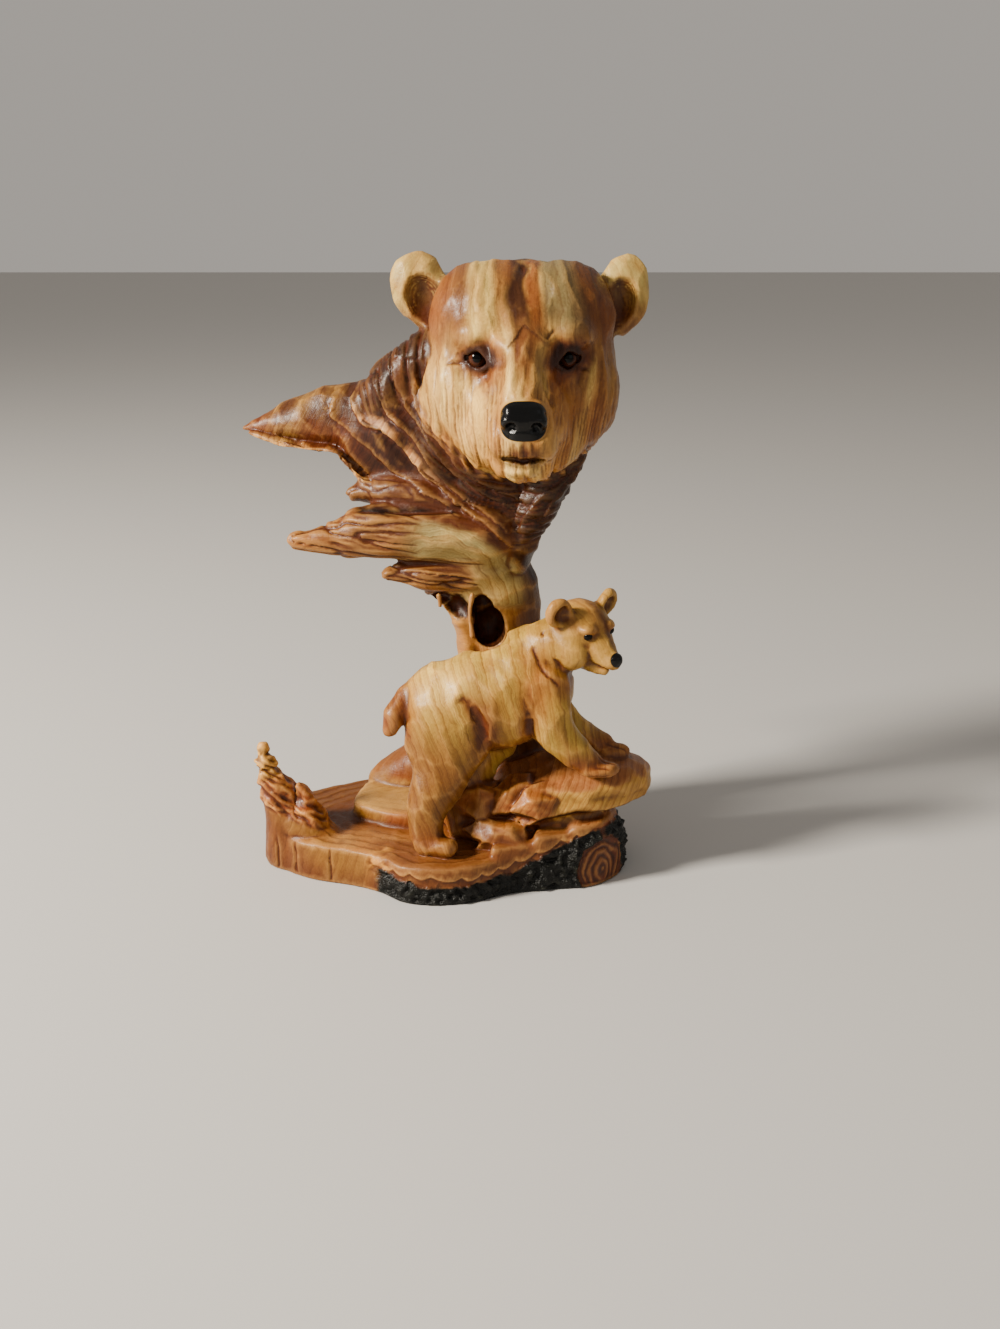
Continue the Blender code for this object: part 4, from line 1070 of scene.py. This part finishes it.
# The front wall's brown is partly its own paint, partly the cub's shadow painted in.
lay(front_wall * (1 - on_bark), (0.25, 0.105, 0.038))
lay(on_patch * patchy(-0.5, 0.4, skin, (2.5, 2.5, 2), 87), (0.62, 0.32, 0.08))
lay(edge_light * 0.7, (0.62, 0.33, 0.13))
lay(on_spire, (0.34, 0.115, 0.032))
coats(
    on_spire,
    (step(35, 40, Z - 0.2 * (X + 70)), (0.70, 0.41, 0.125)),
    (step(0.05, 0.35, chipped) * 0.7, (0.66, 0.34, 0.12)),
    (step(-0.05, -0.22, chipped) * 0.6, (0.11, 0.030, 0.010)),
    (step(-0.1, -0.5, flake) * 0.6, (0.08, 0.02, 0.007)),
    (step(-56, -48, X) * 0.85, (0.50, 0.27, 0.075)),
)
lay(on_log * (1 - on_rocks), (0.38, 0.180, 0.080))
lay(on_log * (1 - on_rocks) * patchy(0.0, 0.5, coat_at, (12, 6, 6), 73) * 0.5, (0.36, 0.15, 0.05))
log_side = on_log * step(0.62, 0.32, normal[:, 2]) * step(-0.85, -0.4, normal[:, 2]) * (1 - on_rocks)
lay(log_side * step(16, 34, X) * 0.95, (0.52, 0.31, 0.090))
lay(log_side * step(34, 18, X + 8 * cloud) * 0.7, (0.26, 0.085, 0.025))
# Painted shade on the log's down-facing underside.
lay(on_log * step(-0.3, -0.7, normal[:, 2]), UNDERSIDE_SHADE)
lay(on_knot, (0.18, 0.052, 0.016))
lay(on_knot * step(-0.3, -0.9, knot_ring) * 0.9, (0.03, 0.009, 0.005))
lay(on_bark, (0.0055, 0.0075, 0.0055))
lay(on_bark * step(0.35, 0.6, lumps) * step(0.2, 0.7, grit) * 0.35, (0.075, 0.075, 0.040))

# Painted shade in the hollows of the relief and painted highlight on its ridges, over the casting's own wash
# and dry brush.
relief_shade_and_highlight = (1 - on_bark) * (1 - on_nose) * (1 - lids) * (1 - 0.6 * forehead) * (1 - 0.6 * flat_top)
lay(step(-0.04, -0.20, bulge) * 0.65 * relief_shade_and_highlight * (1 - 0.35 * on_head), (0.13, 0.044, 0.015))
lay(step(-0.03, -0.12, fine_bulge) * 0.35 * relief_shade_and_highlight * (1 - 0.6 * on_head), (0.14, 0.042, 0.013))
lay(step(0.06, 0.24, bulge) * 0.26 * relief_shade_and_highlight * (1 - 0.7 * on_mane), (0.74, 0.46, 0.20))

lay(lids * 0.95, (0.060, 0.018, 0.008))
# Painted shade: a thin dark line under the edge of the brow lobes.
lay(brow_edge_shade * 0.8, (0.07, 0.020, 0.008))

CONTRAST, GAIN, BALANCE = 1.4, 1.2, np.array([0.92, 1.0, 0.95])
DARKEST, PALEST = 0.0015, 0.95
tone = np.clip(GAIN * np.clip(tone, DARKEST, 1) ** CONTRAST * BALANCE, 0, PALEST)

# The grain: the phase of the painted growth rings over each form, and how strongly they show there.

grain = meridian / 5.2 + 0.35 * drift
show = on_head * 0.5 + zone["ears"] * 0.35


def ringed(mask, phase, strength):
    """Gives the points where this mask leads their own growth rings."""
    here = mask > 0.5
    grain[here] = phase[here]
    show[here] = strength


lean = 0.42 - 0.30 * step(-20, 50, X)
ringed(on_mane, sweep / 6.0 + 0.5 * cloud, 0.25)
ringed(on_wing, (X * 0.85 - Z * 0.45) / 3.1 + 0.3 * cloud, 0.75)
ringed(on_splinters, np.hypot((X + 34) * 0.35, Z - 108) / 3.2 + 0.4 * cloud, 0.35)
ringed(pale_face, np.hypot(X + 9, (Z - 99) * 0.9) / 4.2 + 0.3 * cloud, 0.6)
ringed(trunk - pale_face, (X * 0.95 + 0.1 * Z) / 3.4 + 0.3 * cloud, 0.5)
ringed(on_cub, (X + lean * (Z - 60)) / 3.2 + 0.12 * cloud, 0.55)
ringed(on_cub_face, left / 3.4 + 0.3 * cloud, 0.35)
ringed(on_ground, growth * 1.2, 0.18)
ringed(on_log, (X - 0.55 * Z) / 2.6 + 0.3 * cloud, 0.6)
ringed(wall * (1 - on_log), (X - 0.3 * Z) / 4.2 + 0.4 * cloud, 0.4)
show = averaged(show, 2) * (1 - on_bark) * (1 - on_nose)

# The mesh of the casting, with its paint and grain kept on its points, thinned to what a close look needs.

MOST_TRIANGLES = 190_000
MM = 0.001
mesh = bpy.data.meshes.new("carved_casting")
mesh.vertices.add(count)
mesh.vertices.foreach_set("co", (skin * MM).astype(np.float32).ravel())
mesh.loops.add(faces.size)
mesh.loops.foreach_set("vertex_index", faces.astype(np.int32).ravel())
mesh.polygons.add(len(faces))
mesh.polygons.foreach_set("loop_start", np.arange(0, faces.size, 4, dtype=np.int32))
for name, values in (("tone", tone), ("marks", np.stack([show, on_bark, np.zeros(count)], -1))):
    colour = np.concatenate([np.clip(values, 0, 1), np.ones((count, 1))], 1)
    attribute = mesh.attributes.new(name, "FLOAT_COLOR", "POINT")
    attribute.data.foreach_set("color", colour.astype(np.float32).ravel())
attribute = mesh.attributes.new("grain", "FLOAT", "POINT")
attribute.data.foreach_set("value", grain.astype(np.float32))
mesh.update(calc_edges=True)
mesh.shade_smooth()
full = bpy.data.objects.new("full_casting", mesh)
bpy.context.scene.collection.objects.link(full)
thin = full.modifiers.new("thin", "DECIMATE")
thin.ratio = min(1.0, MOST_TRIANGLES / (2 * len(faces)))
thinned = bpy.data.meshes.new_from_object(full.evaluated_get(bpy.context.evaluated_depsgraph_get()))
thinned.name = "casting"
bpy.data.objects.remove(full)
casting_piece = bpy.data.objects.new("carved_casting", thinned)
bpy.context.scene.collection.objects.link(casting_piece)
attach(casting_piece, "root")
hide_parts("bear_and_cub_statue")

# The casting's finish: growth rings and mottling over the airbrushed paint, under a satin varnish.



def new_material(name):
    """A material and its shader. The helpers below add their nodes to the one made last."""
    global tree
    made = bpy.data.materials.new(name)
    made.use_nodes = True
    tree = made.node_tree
    return made, tree.nodes["Principled BSDF"]


def node(kind, settings=None, **sockets):
    """A new shader node with these properties. Its inputs are given by name, or by number as i0 and i1,
    and each is a value or another node's output."""
    made = tree.nodes.new("ShaderNode" + kind)
    for key, value in (settings or {}).items():
        setattr(made, key, value)
    for key, value in sockets.items():
        by_number = key[0] == "i" and key[1:].isdigit()
        socket = made.inputs[int(key[1:]) if by_number else key.replace("_", " ")]
        if isinstance(value, bpy.types.NodeSocket):
            tree.links.new(value, socket)
        else:
            socket.default_value = value
    return made


def maths(operation, *values):
    """The output of a Math node."""
    numbered = {f"i{n}": value for n, value in enumerate(values)}
    return node("Math", {"operation": operation}, **numbered).outputs[0]


def mixed(factor, a, b, blend="MIX"):
    """The output of a colour mix."""
    made = node("Mix", {"data_type": "RGBA", "blend_type": blend}, i0=factor, i6=a, i7=b)
    return made.outputs[2]


def ranged(value, low, high, start=0.0, end=1.0):
    """A value's place between low and high, smoothly, as start to end."""
    made = node("MapRange", {"interpolation_type": "SMOOTHSTEP"}, Value=value)
    for n, v in enumerate((low, high, start, end)):
        made.inputs[n + 1].default_value = v
    return made.outputs[0]


def ramp(value, *stops):
    """A colour ramp over its stops, each a position and a colour."""
    made = node("ValToRGB", Fac=value)
    elements = made.color_ramp.elements
    while len(elements) < len(stops):
        elements.new(0.5)
    for element, (position, colour) in zip(elements, stops):
        element.position = position
        element.color = (*colour, 1.0)
    return made.outputs[0]


def attribute_of(name):
    """The node that reads one of the mesh's own attributes."""
    return node("Attribute", {"attribute_name": name})


def object_place():
    """Object coordinates, in millimetres."""
    coordinates = node("TexCoord").outputs["Object"]
    return node("VectorMath", {"operation": "SCALE"}, i0=coordinates, Scale=1 / MM).outputs[0]


def part_of(vector, axis):
    """One coordinate of a vector."""
    return node("SeparateXYZ", Vector=vector).outputs[axis]


material, shader = new_material("painted_wood_resin")
place = object_place()
tone_in = attribute_of("tone").outputs["Color"]
marks = node("SeparateColor", Color=attribute_of("marks").outputs["Color"])
show_in, bark_in = marks.outputs[0], marks.outputs[1]
phase = attribute_of("grain").outputs["Fac"]
wobble = node("TexNoise", Vector=place, Scale=0.16, Detail=3.0, Roughness=0.5).outputs[0]
phase = maths("ADD", phase, maths("MULTIPLY", wobble, 0.9))
ring_share = maths("FRACT", phase)
ring_number = maths("FLOOR", phase)
ring_tint = ramp(
    ring_share,
    (0.0, (1.0, 0.97, 0.9)), (0.10, (1.12, 1.12, 1.08)), (0.55, (1.0, 0.98, 0.92)),
    (0.80, (0.80, 0.68, 0.52)), (0.93, (0.56, 0.38, 0.24)), (1.0, (0.86, 0.78, 0.66)),
)
ring_random = node("TexWhiteNoise", {"noise_dimensions": "1D"}, W=ring_number).outputs["Value"]
ring_tone = ramp(
    ring_random,
    (0.0, (0.78, 0.70, 0.62)), (0.45, (0.98, 0.98, 0.98)),
    (0.75, (1.08, 1.10, 1.05)), (1.0, (1.0, 0.86, 0.72)),
)
rings = mixed(1.0, ring_tint, ring_tone, "MULTIPLY")
across_grain = maths("MULTIPLY", phase, 9.0)
along_grain = maths("MULTIPLY", part_of(place, 2), 0.09)
lines_at = node("CombineXYZ", X=across_grain, Y=along_grain, Z=maths("MULTIPLY", wobble, 3.0)).outputs[0]
lines = node("TexNoise", Vector=lines_at, Scale=1.0, Detail=2.0).outputs[0]
grainy = mixed(show_in, (1, 1, 1, 1), rings)
line_tint = ramp(lines, (0.32, (0.42, 0.30, 0.20)), (0.52, (1.0, 1.0, 1.0)), (0.75, (1.18, 1.18, 1.15)))
grainy = mixed(maths("MULTIPLY", show_in, 0.75), grainy, line_tint, "MULTIPLY")
fleck = node("TexNoise", Vector=place, Scale=0.9, Detail=4.0, Roughness=0.65).outputs[0]
mottle = ramp(fleck, (0.25, (0.74, 0.68, 0.62)), (0.5, (1.0, 1.0, 1.0)), (0.75, (1.12, 1.12, 1.12)))
paint = mixed(1.0, tone_in, grainy, "MULTIPLY")
paint = mixed(0.6, paint, mixed(1.0, paint, mottle, "MULTIPLY"))


def around(centre, radii, edge=0.06):
    """1 inside an ellipsoid of the statue in millimetres, 0 outside, with a narrow soft edge."""
    off = node("VectorMath", {"operation": "SUBTRACT"}, i0=place, i1=centre).outputs[0]
    off = node("VectorMath", {"operation": "DIVIDE"}, i0=off, i1=radii).outputs[0]
    far = node("VectorMath", {"operation": "LENGTH"}, i0=off).outputs["Value"]
    return ranged(far, 1.0 - edge, 1.0 + edge, 1.0, 0.0)


def cubed(axis, centre, half):
    """How far one Object coordinate is from a centre, over a half width, to the third power."""
    off = maths("ABSOLUTE", maths("SUBTRACT", part_of(place, axis), centre))
    return maths("POWER", maths("DIVIDE", off, half), 3.0)


nose_reach = maths("ADD", cubed(0, FACE_X, 7.7), cubed(2, NOSE_Z, 6.5))
ahead_of_face = ranged(part_of(place, 1), -41.0, -40.0, 1.0, 0.0)
nose_paint = maths("MULTIPLY", ranged(nose_reach, 0.93, 1.07, 1.0, 0.0), ahead_of_face)
cub_nose_paint = around(in_cub_face(20.2, 0, -0.2), (3.0, 3.0, 2.7))
black = maths("MAXIMUM", nose_paint, cub_nose_paint)
paint = mixed(black, paint, (0.0012, 0.0012, 0.0014, 1))
shine = ranged(fleck, 0.3, 0.7, 0.30, 0.52)
shine = node("Mix", {"data_type": "FLOAT"}, i0=bark_in, i2=shine, i3=0.34).outputs[0]
shine = node("Mix", {"data_type": "FLOAT"}, i0=black, i2=shine, i3=0.2).outputs[0]
tree.links.new(paint, shader.inputs["Base Color"])
tree.links.new(shine, shader.inputs["Roughness"])
shader.inputs["Coat Weight"].default_value = 0.05
shader.inputs["Coat Roughness"].default_value = 0.28
shader.inputs["IOR"].default_value = 1.31
line_height = maths("MULTIPLY", maths("MULTIPLY", lines, show_in), 0.35)
height = maths("ADD", line_height, maths("MULTIPLY", fleck, 0.35))
grit_noise = node("TexNoise", Vector=place, Scale=1.4, Detail=3.0).outputs[0]
height = maths("ADD", height, maths("MULTIPLY", maths("MULTIPLY", grit_noise, bark_in), 2.5))
bump = node("Bump", Strength=0.6, Distance=0.0006, Height=height).outputs[0]
tree.links.new(bump, shader.inputs["Normal"])
thinned.materials.clear()
thinned.materials.append(material)

# The eyes: four small balls set in the sockets, dark brown with a black pupil. On the real casting they are
# paint under a clear gloss varnish, not pieces of their own.


def eye(name, centre, radius, look, iris, pupil):
    """A ball of latitudes and longitudes about the way it looks. Its paint is by the angle from that way."""
    way = np.array(look, float) / np.linalg.norm(look)
    side = np.cross(way, (0, 0, 1))
    side /= np.linalg.norm(side)
    turned_to = np.stack([side, np.cross(side, way), way], 1)
    points, triangles = egg((0, 0, 0), (radius, radius, radius))
    points = points @ turned_to.T + np.array(centre, float)
    made = bpy.data.meshes.new(name)
    made.from_pydata((points * MM).tolist(), [], triangles.tolist())
    made.shade_smooth()
    obj = bpy.data.objects.new(name, made)
    bpy.context.scene.collection.objects.link(obj)
    paint_of_eye, finish = new_material(name)
    here = object_place()
    middle = tuple(np.array(centre) + way * radius)
    far = node("VectorMath", {"operation": "DISTANCE"}, i0=here, i1=middle).outputs["Value"]
    mottled = node("TexNoise", Vector=here, Scale=1.8, Detail=2.0).outputs[0]
    far = maths("ADD", far, maths("MULTIPLY", mottled, 0.3))
    colour = ramp(
        maths("DIVIDE", far, radius * 1.5),
        (pupil, (0.0010, 0.0008, 0.0008)), (pupil + 0.08, iris), (0.78, iris), (0.9, (0.02, 0.008, 0.005)),
    )
    tree.links.new(colour, finish.inputs["Base Color"])
    finish.inputs["Roughness"].default_value = 0.12
    finish.inputs["IOR"].default_value = 1.25
    made.materials.append(paint_of_eye)
    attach(obj, "root")
    return obj


EYE_SET_BACK, EYE_RADIUS, CUB_EYE_RADIUS = 1.9, 3.3, 1.7
for (x, y, z), s, name in zip(eye_spots, (-1, 1), ("mother_eye_left", "mother_eye_right")):
    eye(name, (x, y + EYE_SET_BACK, z), EYE_RADIUS, (s * 0.1, -1, 0.1), (0.045, 0.012, 0.005), 0.35)
for s, name in ((-1, "cub_eye_near"), (1, "cub_eye_far")):
    at = in_cub_face(8.9, s * 5.8, 4.9)
    eye(name, at, CUB_EYE_RADIUS, CUB_TURN @ np.array([1, s * 0.4, 0.1]), (0.010, 0.007, 0.005), 0.7)

# The floor: a plain pale square that the statue stands on, a hair below its underside.

FLOOR_HALF, FLOOR_Z = 6.0, -0.0002
floor_mesh = bpy.data.meshes.new("floor")
corners = [(x * FLOOR_HALF, y * FLOOR_HALF, FLOOR_Z) for x, y in ((-1, -1), (1, -1), (1, 1), (-1, 1))]
floor_mesh.from_pydata(corners, [], [(0, 1, 2, 3)])
floor = bpy.data.objects.new("floor", floor_mesh)
bpy.context.scene.collection.objects.link(floor)
floor_paint, floor_shader = new_material("pale_table")
floor_shader.inputs["Base Color"].default_value = (0.50, 0.485, 0.465, 1)
floor_shader.inputs["Roughness"].default_value = 0.9
floor_mesh.materials.append(floor_paint)

# The light: a soft warm window from the upper left, a weak cool fill from the right and the room's glow.


def lamp(name, at, aim, size, power, colour):
    """A square soft box of this size in metres, aimed from one point at another."""
    data = bpy.data.lights.new(name, "AREA")
    data.shape = "SQUARE"
    data.size = size
    data.energy = power
    data.color = colour
    obj = bpy.data.objects.new(name, data)
    bpy.context.scene.collection.objects.link(obj)
    obj.location = at
    way = np.array(aim) - np.array(at)
    flat = math.hypot(way[0], way[1])
    obj.rotation_euler = (math.atan2(flat, -way[2]), 0, math.atan2(-way[0], way[1]))


lamp("window", (-1.12, -0.50, 0.78), (0, 0, 0.1), 0.26, 60.0, (1.0, 0.92, 0.80))
lamp("fill", (1.2, -1.4, 0.7), (0, 0, 0.1), 1.2, 2.0, (0.86, 0.93, 1.0))
world = bpy.data.worlds.new("room")
world.use_nodes = True
glow = world.node_tree.nodes["Background"]
glow.inputs["Color"].default_value = (0.80, 0.745, 0.68, 1)
glow.inputs["Strength"].default_value = 0.52
bpy.context.scene.world = world

# The camera: the photograph's own view, half a metre in front of the statue and 17.5 degrees down.

LOOK_DOWN = 17.5
camera = bpy.data.cameras.new("camera")
camera.sensor_width = 36.0
camera.lens = 38.6
camera.clip_start = 0.01
camera.clip_end = 50.0
viewer = bpy.data.objects.new("camera", camera)
bpy.context.scene.collection.objects.link(viewer)
viewer.location = (0.0156, -0.516, 0.240)
viewer.rotation_euler = (math.radians(90 - LOOK_DOWN), 0, 0)
bpy.context.scene.camera = viewer
